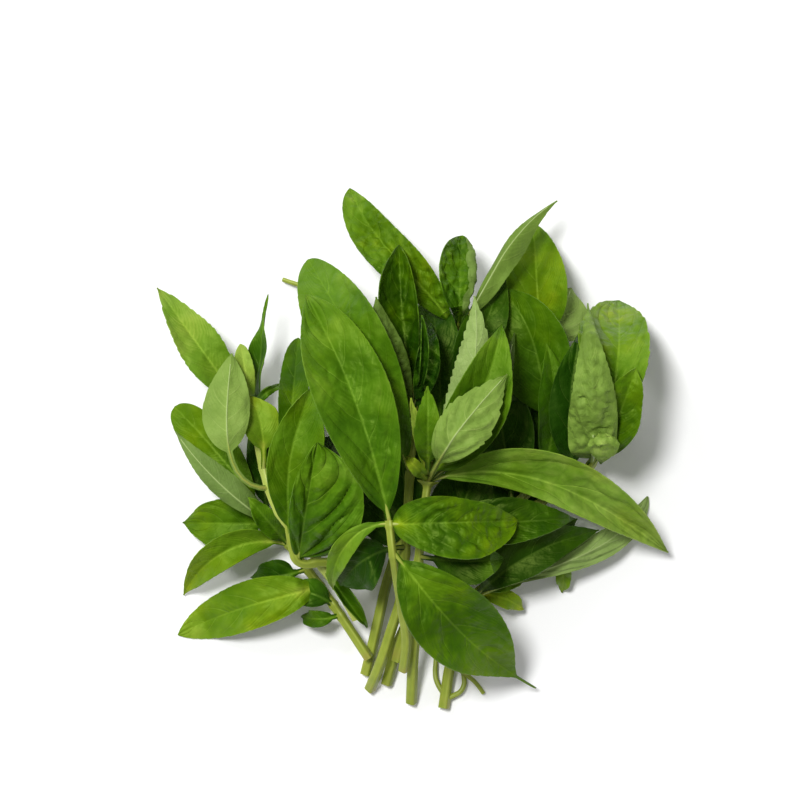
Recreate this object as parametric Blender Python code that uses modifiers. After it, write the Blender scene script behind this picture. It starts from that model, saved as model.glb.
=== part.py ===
"""A loose bunch of cut basil lying on a table: ten leafy stems, laid one on another.

Run it with: blender --background --python part.py

Places are in the plan, seen from above, in millimetres: +X to the right, +Y away from the cut
ends, and the origin under the middle of the bunch. Each leafy stem is one solid, because its
leaves grew on it. Heights are worked out: each stem, and each leaf on it, is lowered on what was
laid down before it, so nothing crosses anything else.
"""

import math
from dataclasses import dataclass
from dataclasses import field

import bmesh
import bpy
import numpy as np

METRES = 0.001

# Driving dimensions, in millimetres
BLADE_THICKNESS = 0.7
STALK_WIDTH = 1.9
TIP_WIDTH = 1.1
CUT_RADIUS = 1.85
SHOOT_RADIUS = 1.25
GAP = 1.1
ORIGIN_SHIFT = (0.8, -2.3)

# How the blades are divided
BLADE_ROWS = 8
BLADE_COLUMNS = 4
SMALL_BLADE = 11.0
SMALL_ROWS = 6
SMALL_COLUMNS = 2
STEM_POINTS = 18
STEM_BEVEL = 2

# How finely a leaf and a stem are followed while they are laid down
FINE_ROWS = 41
FINE_COLUMNS = 13
FINE_STEM = 81
CELL = 1.0
MAP_HALF = 125.0
FUSED_WITHIN = 8.0


@dataclass
class Leaf:
    """One leaf: where on its stem it grows, where its tip lies, and how its blade is bent."""

    at: float
    tip: tuple
    width: float
    height: float = 6.0
    arch: float = 5.0
    curve: tuple = (0.0, 0.0)
    stalk: float = 5.0
    roll: float = 0.0
    twist: float = 0.0
    fold: float = 12.0
    cup: float = 12.0
    wave: float = 0.9
    waves: float = 2.2
    broad: float = 0.42
    full: float = 1.9
    drip: float = 0.0
    skew: tuple = (0.0, 0.0)
    underside: bool = False


@dataclass
class Sprig:
    """One leafy stem: its route from the cut end to the shoot's tip, its leaves and bare stalks."""

    name: str
    route: list
    leaves: list
    stalks: list = field(default_factory=list)
    rise: float = 6.0
    radius: float = CUT_RADIUS
    colour: tuple = (0.10, 0.22, 0.02)


def sprigs():
    """The ten leafy stems, from the bottom of the bunch to its top."""
    return [
        Sprig(
            "sprig_right_low",
            [(10.2, -89.3), (12.6, -73), (17, -56), (27, -44), (41, -35), (54, -30)],
            [
                Leaf(0.46, (22, -2), 25, height=4, arch=3, curve=(20, -16), broad=0.55),
                Leaf(0.78, (42, 22), 23, height=4, arch=3, curve=(8, -8), broad=0.5),
                Leaf(0.53, (38.2, -54.6), 7, height=4, stalk=3, curve=(22, -22)),
                Leaf(0.55, (39.5, -43.6), 4.5, height=5, stalk=3),
                Leaf(0.92, (51.8, -48.6), 6, height=0.3, stalk=4, curve=(26, -20)),
                Leaf(
                    0.50, (82, -14.7), 10.5, height=0.3, curve=(0, 32), broad=0.6, skew=(0.4, -0.3),
                    underside=True,
                ),
                Leaf(0.74, (57, -22.5), 10, height=10, roll=15),
                Leaf(
                    0.50, (64.5, -26.5), 16, height=10, arch=6, curve=(18, -16), roll=-8,
                    skew=(-0.25, -0.1),
                ),
            ],
            stalks=[
                ([(9, -85), (7.4, -79), (7.4, -71)], 1.0),
                ([(13, -86.5), (16.6, -83), (17.2, -78), (16, -72)], 1.0),
                ([(16.5, -74), (20.5, -79.5), (24.2, -84.2)], 0.9),
            ],
            rise=8,
        ),
        Sprig(
            "sprig_upper_right",
            [
                (-10, -81), (-7.5, -72), (-3, -60), (12, -38), (31, -21), (45, -7), (49.5, 8),
                (48, 24), (44, 37),
            ],
            [
                Leaf(0.56, (24, 34), 22, height=6, arch=4, curve=(-6, 6)),
                Leaf(
                    1.0, (54.8, 58.6), 25, height=10, curve=(-8, 8), underside=True,
                ),
                Leaf(
                    1.0, (41.4, 83), 25, height=4, arch=9, roll=6, fold=18, broad=0.4, full=2.2,
                ),
                Leaf(
                    0.80, (28.9, 59), 27, height=16, arch=8, roll=12, curve=(0, 26), full=2.2,
                ),
                Leaf(
                    0.66, (45.8, 38.8), 13, height=16, roll=-15, arch=6, curve=(-16, 16),
                ),
            ],
            rise=10,
        ),
        Sprig(
            "sprig_right_top",
            [(-6.4, -72.5), (-2.5, -60), (8, -45), (27, -28), (48, -14), (62, -3), (67, 14)],
            [
                Leaf(0.78, (57.5, 43), 15, height=8, curve=(10, -10)),
                Leaf(
                    1.0, (71.8, 54.3), 26.5, height=3, arch=11, curve=(-6, 6), broad=0.46, full=1.5,
                    skew=(0.05, -0.3), cup=20,
                ),
                Leaf(
                    0.84, (76.6, 30.4), 17.5, height=6, roll=-10, curve=(-12, 6), broad=0.36,
                    full=1.5, skew=(-0.25, 0.05),
                ),
                Leaf(
                    0.85, (60.4, 53), 19.4, height=22, broad=0.2, full=1.5, cup=25, stalk=2,
                    underside=True,
                ),
                Leaf(
                    0.97, (64.8, -3), 12.5, height=22, arch=2, stalk=2, cup=30, underside=True,
                ),
            ],
            rise=12,
        ),
        Sprig(
            "sprig_upper_left",
            [
                (-17.3, -77.5), (-14.8, -67), (-12.2, -55), (-9.6, -44), (-5, -31), (1, -18),
                (6, -3), (11, 17),
                (15, 43),
            ],
            [
                Leaf(0.34, (-12, -3), 20, height=7, curve=(8, -8)),
                Leaf(0.43, (-10, 27), 21, height=8, curve=(-6, 6)),
                Leaf(0.74, (17, 56), 14, height=10, curve=(-10, 6)),
                Leaf(0.70, (4.5, 62), 19, height=8, curve=(-6, 6)),
                Leaf(0.84, (31, 64.5), 15, height=10, curve=(-8, 8)),
                Leaf(
                    1.0, (-23, 93.8), 17.5, height=2, arch=9, fold=20, curve=(-2, -14), broad=0.52,
                    full=1.6, skew=(0.1, -0.2),
                ),
                Leaf(
                    1.0, (49.8, 89), 8.5, height=18, arch=6, roll=20, curve=(3, -20), fold=30,
                    broad=0.48, full=2.2, skew=(-0.3, -0.3), underside=True,
                ),
                Leaf(
                    1.0, (16.3, 76.8), 19.5, height=18, cup=40, fold=20, broad=0.56, full=1.7,
                    skew=(0.15, 0),
                ),
            ],
            rise=14,
        ),
        Sprig(
            "sprig_left_low",
            [(-16.2, -71.5), (-23.6, -60.3), (-32, -48), (-41.5, -35.5), (-49, -25), (-55, -18)],
            [
                Leaf(0.34, (-42, -47.5), 11, height=2, stalk=3, curve=(-16, 16)),
                Leaf(0.27, (-40, -57), 6.5, height=3, stalk=3, curve=(14, -14)),
                Leaf(
                    0.57, (-57.8, -43.2), 13, height=3, curve=(8, -8), broad=0.34,
                ),
                Leaf(0.92, (-56, 14), 11, height=5),
                Leaf(0.88, (-81.8, -24), 19.5, height=2, broad=0.38),
                Leaf(
                    0.92, (-84.6, 16.9), 16, height=4, stalk=8, curve=(-4, 4), broad=0.58,
                    full=1.25,
                ),
                Leaf(
                    0.84, (-84, 8), 9.5, height=6, arch=6, curve=(8, -10), skew=(-0.3, -0.1),
                    underside=True,
                ),
                Leaf(
                    0.74, (-81.5, -49.5), 13, height=1, arch=7, curve=(-42, 38), fold=24,
                    skew=(0.1, 0),
                ),
                Leaf(0.74, (-58.3, -14.8), 8, height=12, stalk=3),
                Leaf(
                    0.46, (-83.6, -63.6), 17.6, height=-10, arch=8, curve=(-4, 8), stalk=2, fold=5,
                    cup=0, wave=0.3, broad=0.43, full=1.45,
                ),
            ],
            rise=8,
            radius=1.6,
        ),
        Sprig(
            "sprig_left_top",
            [(-20.5, -57.5), (-26, -48), (-37, -33), (-47.5, -20), (-53, -5), (-57, 16)],
            [
                Leaf(
                    0.26, (-16.8, -60.8), 10, height=9, arch=3, stalk=2, fold=50, cup=30,
                    skew=(-0.4, -0.4),
                ),
                Leaf(0.55, (-43.5, 22), 9.5, height=8, curve=(-4, 4)),
                Leaf(
                    1.0, (-51.4, 56.2), 11, height=20, roll=55, curve=(-2, -2), broad=0.3, full=2.8,
                ),
                Leaf(
                    1.0, (-90.7, 58.7), 15.6, height=8, arch=6, curve=(8, 0), roll=-12,
                    skew=(-0.05, 0),
                ),
                Leaf(1.0, (-61, 38.8), 7, height=22, broad=0.52, full=1.4),
                Leaf(1.0, (-45.6, 25), 3, height=16, arch=6, stalk=3, curve=(20, -20)),
                Leaf(
                    0.74, (-57.5, 20.5), 14, height=20, stalk=8, roll=-10, curve=(-10, 20),
                ),
                Leaf(
                    0.66, (-64, 35.5), 17.5, height=26, stalk=21, curve=(75, -20), underside=True,
                    full=1.7,
                ),
            ],
            rise=14,
            radius=1.6,
        ),
        Sprig(
            "sprig_centre_left",
            [(-13, -41), (-24, -38), (-34, -37.5), (-40.5, -37.5), (-43.5, -28), (-45, -10), (-43, 6)],
            [
                Leaf(0.66, (-26, 8), 14, height=10, curve=(-8, 8)),
                Leaf(0.80, (-41, 41), 11, height=12, broad=0.55, full=1.4),
                Leaf(
                    0.50, (-35.2, 25), 21, height=12, arch=5, curve=(16, -16), fold=22, cup=18,
                    skew=(0.2, 0.2),
                ),
                Leaf(
                    0.40, (-34, 4.5), 26.5, height=14, arch=5, stalk=1.5, roll=-10, broad=0.4,
                    full=1.25, skew=(0.58, 0.55),
                ),
            ],
            rise=14,
            radius=1.6,
        ),
        Sprig(
            "sprig_centre_back",
            [(-15.8, -82.6), (-11.8, -72.5), (-8.2, -61), (-5, -50), (-3.5, -35), (-2, -10), (0, 20)],
            [
                Leaf(0.50, (-26, -45.5), 20, height=8, stalk=7, curve=(-30, 30)),
                Leaf(
                    1.0, (-5.6, 73.4), 24, height=20, cup=50, fold=30, curve=(6, -4), broad=0.48,
                    full=1.9, skew=(-0.3, -0.1),
                ),
                Leaf(
                    0.90, (-13.5, 55), 13.5, height=18, curve=(8, -8), underside=True,
                ),
                Leaf(0.94, (5.5, 46), 10, height=20, curve=(-10, 6), cup=40),
                Leaf(
                    0.97, (2.3, 48.6), 7, height=24, curve=(-14, 14), fold=50, cup=40,
                ),
                Leaf(
                    0.75, (-37.5, 68.4), 28, height=18, arch=10, roll=6, fold=18, curve=(-4, 6),
                    broad=0.52, full=1.25, skew=(-0.12, -0.1),
                ),
            ],
            stalks=[([(-1, 15), (-22, 45), (-38, 59), (-46.5, 61.7)], 1.0)],
            rise=14,
        ),
        Sprig(
            "sprig_centre_right",
            [(-1.2, -87.3), (-0.7, -73.5), (0.3, -58), (1, -40), (2.5, -24.5), (4.5, -9)],
            [
                Leaf(0.80, (56, -22.3), 18, height=14, roll=12),
                Leaf(0.66, (31, -36), 16, height=12, curve=(-8, 8)),
                Leaf(
                    1.0, (89, -34.4), 21, height=8, arch=10, curve=(34, -20), fold=34, broad=0.46,
                    skew=(-0.2, -0.3),
                ),
                Leaf(
                    1.0, (20.6, 55.4), 15, height=22, curve=(-20, 20), underside=True,
                ),
                Leaf(1.0, (34.6, 42.6), 9, height=20, curve=(-26, 20), underside=True),
                Leaf(
                    1.0, (30.2, 45.6), 23, height=22, arch=8, roll=-6, curve=(-12, 14), fold=24,
                ),
                Leaf(1.0, (-1.5, 20), 4, height=22),
                Leaf(
                    1.0, (4.3, 24), 10, height=26, stalk=7, broad=0.36,
                ),
                Leaf(
                    1.0, (31.8, 28.2), 19, height=24, stalk=8, roll=10, curve=(10, -6), broad=0.38,
                    underside=True,
                ),
                Leaf(1.0, (-3, -0.5), 5, height=30, stalk=3),
            ],
            rise=16,
        ),
        Sprig(
            "sprig_front",
            [(-4, -75.5), (-3, -65), (-4.5, -54), (-6.5, -42), (-8, -32), (-9, -22.5)],
            [
                Leaf(
                    1.0, (-38, 56), 31, height=24, arch=10, stalk=2.5, fold=24, roll=-6,
                    curve=(-8, 8), broad=0.49, full=1.9, skew=(-0.15, 0.1),
                ),
                Leaf(
                    0.97, (-28.7, -46.8), 8.5, height=18, arch=5, curve=(-56, 46), stalk=4, fold=28,
                ),
                Leaf(
                    0.97, (35.6, -22.6), 22.5, height=20, arch=8, stalk=1, cup=16, full=1.35,
                    broad=0.42, skew=(-0.05, 0.4),
                ),
                Leaf(
                    0.80, (42.6, -82.2), 30.6, height=4, arch=12, stalk=4, curve=(-8, 14), fold=16,
                    broad=0.42, full=2.3, drip=0.13, skew=(-0.04, -0.15),
                ),
            ],
            rise=42,
            radius=1.7,
        ),
    ]


# Laying things down


class Pile:
    """The top of what has been laid down so far, as heights over the plan."""

    def __init__(self, ground):
        cells = int(2 * MAP_HALF / CELL) + 1
        self.top = np.full((cells, cells), float(ground))

    def cells(self, x, y):
        last = len(self.top) - 1
        column = np.clip(np.rint((x + MAP_HALF) / CELL), 0, last)
        row = np.clip(np.rint((y + MAP_HALF) / CELL), 0, last)
        return column.astype(int), row.astype(int)

    def height(self, x, y, reach):
        """The highest top within reach of each point."""
        highest = np.full(np.shape(x), -1e6)
        steps = np.arange(-math.ceil(reach), math.ceil(reach) + 1)
        for across in steps:
            for along in steps:
                if math.hypot(across, along) <= reach + 0.5:
                    found = self.top[self.cells(x + across, y + along)]
                    highest = np.maximum(highest, found)
        return highest

    def add(self, x, y, z):
        np.maximum.at(self.top, self.cells(x.ravel(), y.ravel()), z.ravel())


def smooth_step(value):
    value = np.clip(value, 0.0, 1.0)
    return value * value * (3.0 - 2.0 * value)


def through(points, count):
    """Evenly spaced points of a smooth curve through the given ones, as a Catmull-Rom spline."""
    points = np.array(points, float)
    ends = [2 * points[0] - points[1], *points, 2 * points[-1] - points[-2]]
    found = []
    t = np.linspace(0.0, 1.0, 24, endpoint=False)[:, None]
    for a, b, c, d in zip(ends, ends[1:], ends[2:], ends[3:]):
        bend = 2 * a - 5 * b + 4 * c - d
        found.append(0.5 * (2 * b + (c - a) * t + bend * t**2 + (3 * b - 3 * c + d - a) * t**3))
    line = np.vstack([*found, points[-1:]])
    lengths = np.r_[0.0, np.cumsum(np.linalg.norm(np.diff(line, axis=0), axis=1))]
    wanted = np.linspace(0.0, lengths[-1], count)
    return np.column_stack([np.interp(wanted, lengths, line[:, i]) for i in range(line.shape[1])])


def taut(along, need):
    """The height of a string pulled tight over what is needed: the least concave line above it."""
    hull = []
    for point in zip(along, need):
        while len(hull) > 1:
            (x0, y0), (x1, y1) = hull[-2], hull[-1]
            if (x1 - x0) * (point[1] - y0) < (y1 - y0) * (point[0] - x0):
                break
            hull.pop()
        hull.append(point)
    return np.interp(along, [p[0] for p in hull], [p[1] for p in hull])


def softened(values, passes):
    """The values with their corners rounded, ends kept."""
    for _ in range(passes):
        inner = (values[:-2] + 2 * values[1:-1] + values[2:]) / 4
        values = np.r_[values[0], inner, values[-1]]
    return values


def eased_over(along, need, passes):
    """A smooth height that nowhere falls below what is needed."""
    height = taut(along, need)
    for _ in range(passes):
        height = np.maximum(softened(height, 4), need)
    return height


def lay_stem(sprig, pile):
    """The stem's centreline in space, and its radius at each point."""
    plan = through(sprig.route, FINE_STEM)
    share = np.linspace(0.0, 1.0, FINE_STEM)
    radius = sprig.radius + (SHOOT_RADIUS - sprig.radius) * share
    steps = np.gradient(plan, axis=0)
    side = np.column_stack([-steps[:, 1], steps[:, 0]]) / np.linalg.norm(steps, axis=1)[:, None]
    need = radius + sprig.rise * smooth_step(share * 1.2)
    for offset in (-1.0, -0.6, 0.0, 0.6, 1.0):
        x, y = (plan + side * (offset * radius)[:, None]).T
        below = pile.height(x, y, 1.0)
        bare = below + GAP + radius * math.sqrt(1.0 - 0.8 * offset**2)
        need = np.maximum(need, np.where(below > 0.0, bare, 0.0))
    leafy = min(leaf.at for leaf in sprig.leaves)
    wide = pile.height(plan[:, 0], plan[:, 1], 6.0) + GAP + BLADE_THICKNESS
    need = np.where(share > leafy - 0.04, np.maximum(need, wide), need)
    height = eased_over(share, need, 12)
    return np.column_stack([plan, height]), radius


def midrib(leaf, node):
    """The leaf's middle line from its stem to its tip, as even points in space."""
    start, tip = np.array(node[:2]), np.array(leaf.tip, float)
    chord = tip - start
    reach = 0.38
    turned = []
    for degrees in leaf.curve:
        turn = math.radians(degrees)
        turned.append(
            np.array(
                [
                    chord[0] * math.cos(turn) - chord[1] * math.sin(turn),
                    chord[0] * math.sin(turn) + chord[1] * math.cos(turn),
                ]
            )
        )
    first, second = start + reach * turned[0], tip - reach * turned[1]
    t = np.linspace(0.0, 1.0, 160)[:, None]
    back = 1.0 - t
    plan = back**3 * start + 3 * back**2 * t * first + 3 * back * t**2 * second + t**3 * tip
    t = t[:, 0]
    height = node[2] + (leaf.height - node[2]) * t + 4 * leaf.arch * t * (1.0 - t)
    line = np.column_stack([plan, height])
    lengths = np.r_[0.0, np.cumsum(np.linalg.norm(np.diff(line, axis=0), axis=1))]
    even = np.linspace(0.0, lengths[-1], len(line))
    line = np.column_stack([np.interp(even, lengths, line[:, i]) for i in range(3)])
    return line, lengths[-1]


def half_width(leaf, blade):
    """Half the blade's width at each share of its length, from its base to its tip."""
    low, high = leaf.broad * leaf.full, (1.0 - leaf.broad) * leaf.full
    inside = np.clip(blade / (1.0 - leaf.drip), 1e-6, 1.0 - 1e-6)
    outline = (inside / leaf.broad) ** low * ((1.0 - inside) / (1.0 - leaf.broad)) ** high
    narrowest = STALK_WIDTH + (TIP_WIDTH - STALK_WIDTH) * blade
    return np.maximum(leaf.width * outline, narrowest) / 2


def blade_points(leaf, line, length, along, across):
    """The blade's middle surface: a point for each share along the leaf and across it."""
    even = np.linspace(0.0, 1.0, len(line))
    rib = np.column_stack([np.interp(along, even, line[:, i]) for i in range(3)])
    slope = np.gradient(line, axis=0)
    tangent = np.column_stack([np.interp(along, even, slope[:, i]) for i in range(3)])
    tangent /= np.linalg.norm(tangent, axis=1)[:, None]
    right = np.cross(tangent, [0.0, 0.0, 1.0])
    right /= np.linalg.norm(right, axis=1)[:, None]
    up = np.cross(right, tangent)
    blade = np.clip((along * length - leaf.stalk) / (length - leaf.stalk), 0.0, 1.0)
    turn = np.radians(leaf.roll + leaf.twist * blade + 180.0 * leaf.underside)[:, None]
    side = right * np.cos(turn) + up * np.sin(turn)
    face = up * np.cos(turn) - right * np.sin(turn)
    opened = smooth_step(blade / 0.15) * smooth_step((1.0 - blade) / 0.1 + 0.3)
    shares = np.linspace(0.0, 1.0, 33)
    bend = math.radians(leaf.fold) * (1.0 - np.exp(-shares / 0.1)) + math.radians(leaf.cup) * shares
    bend = opened[:, None] * bend
    step = shares[1]
    middle = (bend[:, 1:] + bend[:, :-1]) / 2
    out = np.c_[np.zeros(len(along)), np.cumsum(np.cos(middle), axis=1) * step]
    rise = np.c_[np.zeros(len(along)), np.cumsum(np.sin(middle), axis=1) * step]
    place = np.abs(across) * 32
    low = np.minimum(place.astype(int), 31)
    part = place - low
    out = (out[:, low] * (1 - part) + out[:, low + 1] * part) * np.sign(across)
    rise = rise[:, low] * (1 - part) + rise[:, low + 1] * part
    uneven = np.sin(5.0 * blade[:, None] + 2.1 * np.sign(across) + leaf.width)
    skew = np.sign(across) * np.interp(blade, (0.0, 1.0), leaf.skew)[:, None]
    half = half_width(leaf, blade)[:, None] * (1.0 + 0.06 * uneven + skew)
    phase = 2 * math.pi * (leaf.waves * blade[:, None] + 0.21 * np.sign(across) + 0.13 * leaf.width)
    ripple = leaf.wave * across**2 * np.sin(phase) * np.sqrt(np.sin(math.pi * blade))[:, None]
    rise = rise * half + ripple
    return rib[:, None] + (out * half)[..., None] * side[:, None] + rise[..., None] * face[:, None]


def upright_thickness(points):
    """How far half the blade's thickness reaches straight up, at each point of a slanting blade."""
    along, across = np.gradient(points, axis=0), np.gradient(points, axis=1)
    normal = np.cross(along, across)
    level = np.abs(normal[..., 2]) / np.maximum(np.linalg.norm(normal, axis=2), 1e-9)
    return BLADE_THICKNESS / 2 / np.clip(level, 0.3, 1.0)


def lay_leaf(leaf, stem, below, own):
    """Lowers a leaf on what lies under it. Gives its middle line, length and lift along it."""
    node = stem[round(leaf.at * (len(stem) - 1))]
    line, length = midrib(leaf, node)
    along, across = np.linspace(0.0, 1.0, FINE_ROWS), np.linspace(-1.0, 1.0, FINE_COLUMNS)
    points = blade_points(leaf, line, length, along, across)
    x, y, z = np.moveaxis(points, 2, 0)
    spare = z - upright_thickness(points) - GAP
    away = np.hypot(x - node[0], y - node[1])
    mine = own.height(x, y, 1.0) - spare
    need = np.maximum(below.height(x, y, 1.0) - spare, np.where(away > FUSED_WITHIN, mine, 0.0))
    need = np.where(below.height(x, y, 1.0) > 0.0, need, np.where(mine > 0, need, 0.0))
    need = np.maximum(need.max(axis=1), 0.0)
    need[0] = 0.0
    lift = eased_over(along, need, 3)
    return line, length, lift


def laid_points(leaf, laid, along, across):
    """The blade's middle surface where it lies, flat where it meets the table."""
    line, length, lift = laid
    points = blade_points(leaf, line, length, along, across)
    points[..., 2] += np.interp(along, np.linspace(0.0, 1.0, len(lift)), lift)[:, None]
    points[..., 2] = np.maximum(points[..., 2], BLADE_THICKNESS / 2)
    return points


def add_blade(pile, leaf, laid):
    along, across = np.linspace(0.0, 1.0, 4 * FINE_ROWS), np.linspace(-1.0, 1.0, 4 * FINE_COLUMNS)
    points = laid_points(leaf, laid, along, across)
    x, y, z = np.moveaxis(points, 2, 0)
    pile.add(x, y, z + upright_thickness(points))


def add_stem(pile, stem, radius):
    for offset in (-1.0, -0.5, 0.0, 0.5, 1.0):
        steps = np.gradient(stem[:, :2], axis=0)
        side = np.column_stack([-steps[:, 1], steps[:, 0]]) / np.linalg.norm(steps, axis=1)[:, None]
        fine = np.linspace(0.0, 1.0, 4 * len(stem))
        even = np.linspace(0.0, 1.0, len(stem))
        edge = stem[:, :2] + side * (offset * radius)[:, None]
        top = stem[:, 2] + radius * math.sqrt(1.0 - 0.8 * offset**2)
        x, y, z = (np.interp(fine, even, values) for values in (*edge.T, top))
        pile.add(x, y, z)


# Building the solids


def clear_scene():
    for thing in list(bpy.data.objects):
        bpy.data.objects.remove(thing)


def collection_named(name):
    made = bpy.data.collections.new(name)
    bpy.context.scene.collection.children.link(made)
    return made


def leaf_material(name, colour):
    material = bpy.data.materials.new(name)
    material.use_nodes = True
    shader = material.node_tree.nodes["Principled BSDF"]
    shader.inputs["Base Color"].default_value = (*colour, 1.0)
    shader.inputs["Roughness"].default_value = 0.45
    shader.inputs["Metallic"].default_value = 0.0
    return material


def evaluated_copy(thing, name, target):
    """A plain mesh object with the shape that thing's modifiers or bevel give it."""
    graph = bpy.context.evaluated_depsgraph_get()
    mesh = bpy.data.meshes.new_from_object(thing.evaluated_get(graph))
    made = bpy.data.objects.new(name, mesh)
    made.matrix_world = thing.matrix_world
    target.objects.link(made)
    bpy.data.objects.remove(thing)
    return made


def make_tube(name, points, radii, target):
    """A stem or bare stalk: a curve with a round bevel that tapers, made a closed mesh."""
    curve = bpy.data.curves.new(name, "CURVE")
    curve.dimensions = "3D"
    curve.bevel_depth = METRES
    curve.bevel_resolution = STEM_BEVEL
    curve.use_fill_caps = True
    spline = curve.splines.new("POLY")
    spline.points.add(len(points) - 1)
    for knot, point, radius in zip(spline.points, points, radii):
        knot.co = (*(point * METRES), 1.0)
        knot.radius = radius
    thing = bpy.data.objects.new(name + "_curve", curve)
    target.objects.link(thing)
    bpy.context.view_layer.update()
    made = evaluated_copy(thing, name, target)
    tube = bmesh.new()
    tube.from_mesh(made.data)
    bmesh.ops.remove_doubles(tube, verts=tube.verts, dist=0.01 * METRES)
    bmesh.ops.recalc_face_normals(tube, faces=tube.faces)
    tube.to_mesh(made.data)
    tube.free()
    return made


def make_blade(name, leaf, laid, target):
    """A leaf: a grid bent to the blade's surface, split alike on both faces, and thickened."""
    small = leaf.width < SMALL_BLADE
    rows = SMALL_ROWS if small else BLADE_ROWS
    columns = SMALL_COLUMNS if small else BLADE_COLUMNS
    grid = bmesh.new()
    bmesh.ops.create_grid(grid, x_segments=columns, y_segments=rows, size=1.0)
    stalk_share = leaf.stalk / laid[1]
    along = np.r_[0.0, stalk_share + (1.0 - stalk_share) * np.linspace(0.0, 1.0, rows)]
    across = np.linspace(-1.0, 1.0, columns + 1)
    points = laid_points(leaf, laid, along, across) * METRES
    for vert in grid.verts:
        row = round((vert.co.y + 1.0) / 2.0 * rows)
        column = round((vert.co.x + 1.0) / 2.0 * columns)
        vert.co = points[row, column]
    bmesh.ops.triangulate(grid, faces=grid.faces)
    mesh = bpy.data.meshes.new(name)
    grid.to_mesh(mesh)
    grid.free()
    thing = bpy.data.objects.new(name + "_sheet", mesh)
    target.objects.link(thing)
    thick = thing.modifiers.new("thickness", "SOLIDIFY")
    thick.thickness = BLADE_THICKNESS * METRES
    thick.offset = 0.0
    bpy.context.view_layer.update()
    return evaluated_copy(thing, name, target)


def join_all(body, others):
    """One Boolean union of body with every object of the others' collection, applied."""
    union = body.modifiers.new("union", "BOOLEAN")
    union.operation = "UNION"
    union.operand_type = "COLLECTION"
    union.collection = others
    union.solver = "MANIFOLD"
    bpy.context.view_layer.update()
    graph = bpy.context.evaluated_depsgraph_get()
    mesh = bpy.data.meshes.new_from_object(body.evaluated_get(graph))
    body.modifiers.clear()
    body.data = mesh
    for thing in list(others.objects):
        bpy.data.objects.remove(thing)
    bpy.data.collections.remove(others)


def lay_stalk(route, thickness, stem, pile):
    """A bare side stalk, from inside the stem at its nearest to the route's start, to the end."""
    root = stem[np.argmin(np.hypot(*(stem[:, :2] - route[0]).T))]
    plan = through([root[:2], *route[1:]], 25)
    share = np.linspace(0.0, 1.0, 25)
    need = pile.height(plan[:, 0], plan[:, 1], 1.5)
    need = np.where(need > 0.0, need + GAP, 0.0) + thickness
    need[0] = root[2]
    height = np.maximum(eased_over(share, need, 3), 0.0)
    height[0] = root[2]
    return np.column_stack([plan, height])[::4]


def build_sprig(sprig, pile, bunch):
    stem, radius = lay_stem(sprig, pile)
    own = Pile(-1e6)
    add_stem(own, stem, radius)
    pieces = collection_named(sprig.name + "_pieces")
    picks = np.linspace(0, FINE_STEM - 1, STEM_POINTS).round().astype(int)
    body = make_tube(sprig.name, stem[picks], radius[picks], bunch)
    for index, (route, thickness) in enumerate(sprig.stalks):
        line = lay_stalk(route, thickness, stem, pile)
        radii = np.linspace(thickness, 0.8 * thickness, len(line))
        make_tube(f"{sprig.name}_stalk_{index}", line, radii, pieces)
        add_stem(own, line, radii)
    for index, leaf in enumerate(sprig.leaves):
        laid = lay_leaf(leaf, stem, pile, own)
        add_blade(own, leaf, laid)
        make_blade(f"{sprig.name}_leaf_{index}", leaf, laid, pieces)
    join_all(body, pieces)
    pile.top = np.maximum(pile.top, own.top)
    body.data.materials.clear()
    body.data.materials.append(leaf_material(sprig.name, sprig.colour))
    body.location = (ORIGIN_SHIFT[0] * METRES, ORIGIN_SHIFT[1] * METRES, 0.0)
    return body


def main():
    clear_scene()
    bunch = collection_named("basil_bunch")
    pile = Pile(0.0)
    for sprig in sprigs():
        build_sprig(sprig, pile, bunch)


if __name__ == "__main__":
    main()
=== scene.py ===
"""The looks of a loose bunch of cut basil: fine leaves and stems over the plain solids."""

import functools
import math
from dataclasses import dataclass
from dataclasses import field

import bpy
import numpy as np
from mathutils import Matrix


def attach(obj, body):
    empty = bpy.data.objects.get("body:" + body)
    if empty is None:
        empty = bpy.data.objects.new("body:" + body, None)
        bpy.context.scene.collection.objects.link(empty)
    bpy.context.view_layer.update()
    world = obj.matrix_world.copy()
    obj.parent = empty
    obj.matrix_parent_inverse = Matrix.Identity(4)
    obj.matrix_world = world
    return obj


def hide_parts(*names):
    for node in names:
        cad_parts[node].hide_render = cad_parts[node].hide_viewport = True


bl_info = {
    "name": "Basil bunch",
    "version": (1, 0, 0),
    "blender": (4, 5, 0),
    "location": "View3D > Sidebar > Basil",
    "description": "Grows the leaves and stems of a bunch of cut basil and sets up its stage",
    "category": "Object",
}

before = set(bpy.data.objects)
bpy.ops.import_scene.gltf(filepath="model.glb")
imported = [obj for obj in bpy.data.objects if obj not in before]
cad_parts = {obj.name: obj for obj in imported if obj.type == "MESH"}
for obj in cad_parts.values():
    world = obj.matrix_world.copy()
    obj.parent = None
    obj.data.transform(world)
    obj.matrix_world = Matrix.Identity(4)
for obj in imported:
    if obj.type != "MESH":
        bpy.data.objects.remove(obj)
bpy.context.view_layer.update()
METRES = 0.001

# What lays the bunch down as the solids do: sizes in millimetres, shares, and counts
BLADE_THICKNESS = 0.7
STALK_WIDTH = 1.9
CUT_RADIUS = 1.85
SHOOT_RADIUS = 1.25
GAP = 1.1
ORIGIN_SHIFT = (0.8, -2.3)
FINE_ROWS = 41
FINE_COLUMNS = 13
FINE_STEM = 81
CELL = 1.0
MAP_HALF = 125.0
FUSED_WITHIN = 8.0
LEAF_REACH = 6.0
ROUNDNESS = 0.8
WAVES = 2.2
FOLD_STEPS = 32
MIDRIB_POINTS = 160
STALK_POINTS = 25

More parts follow.
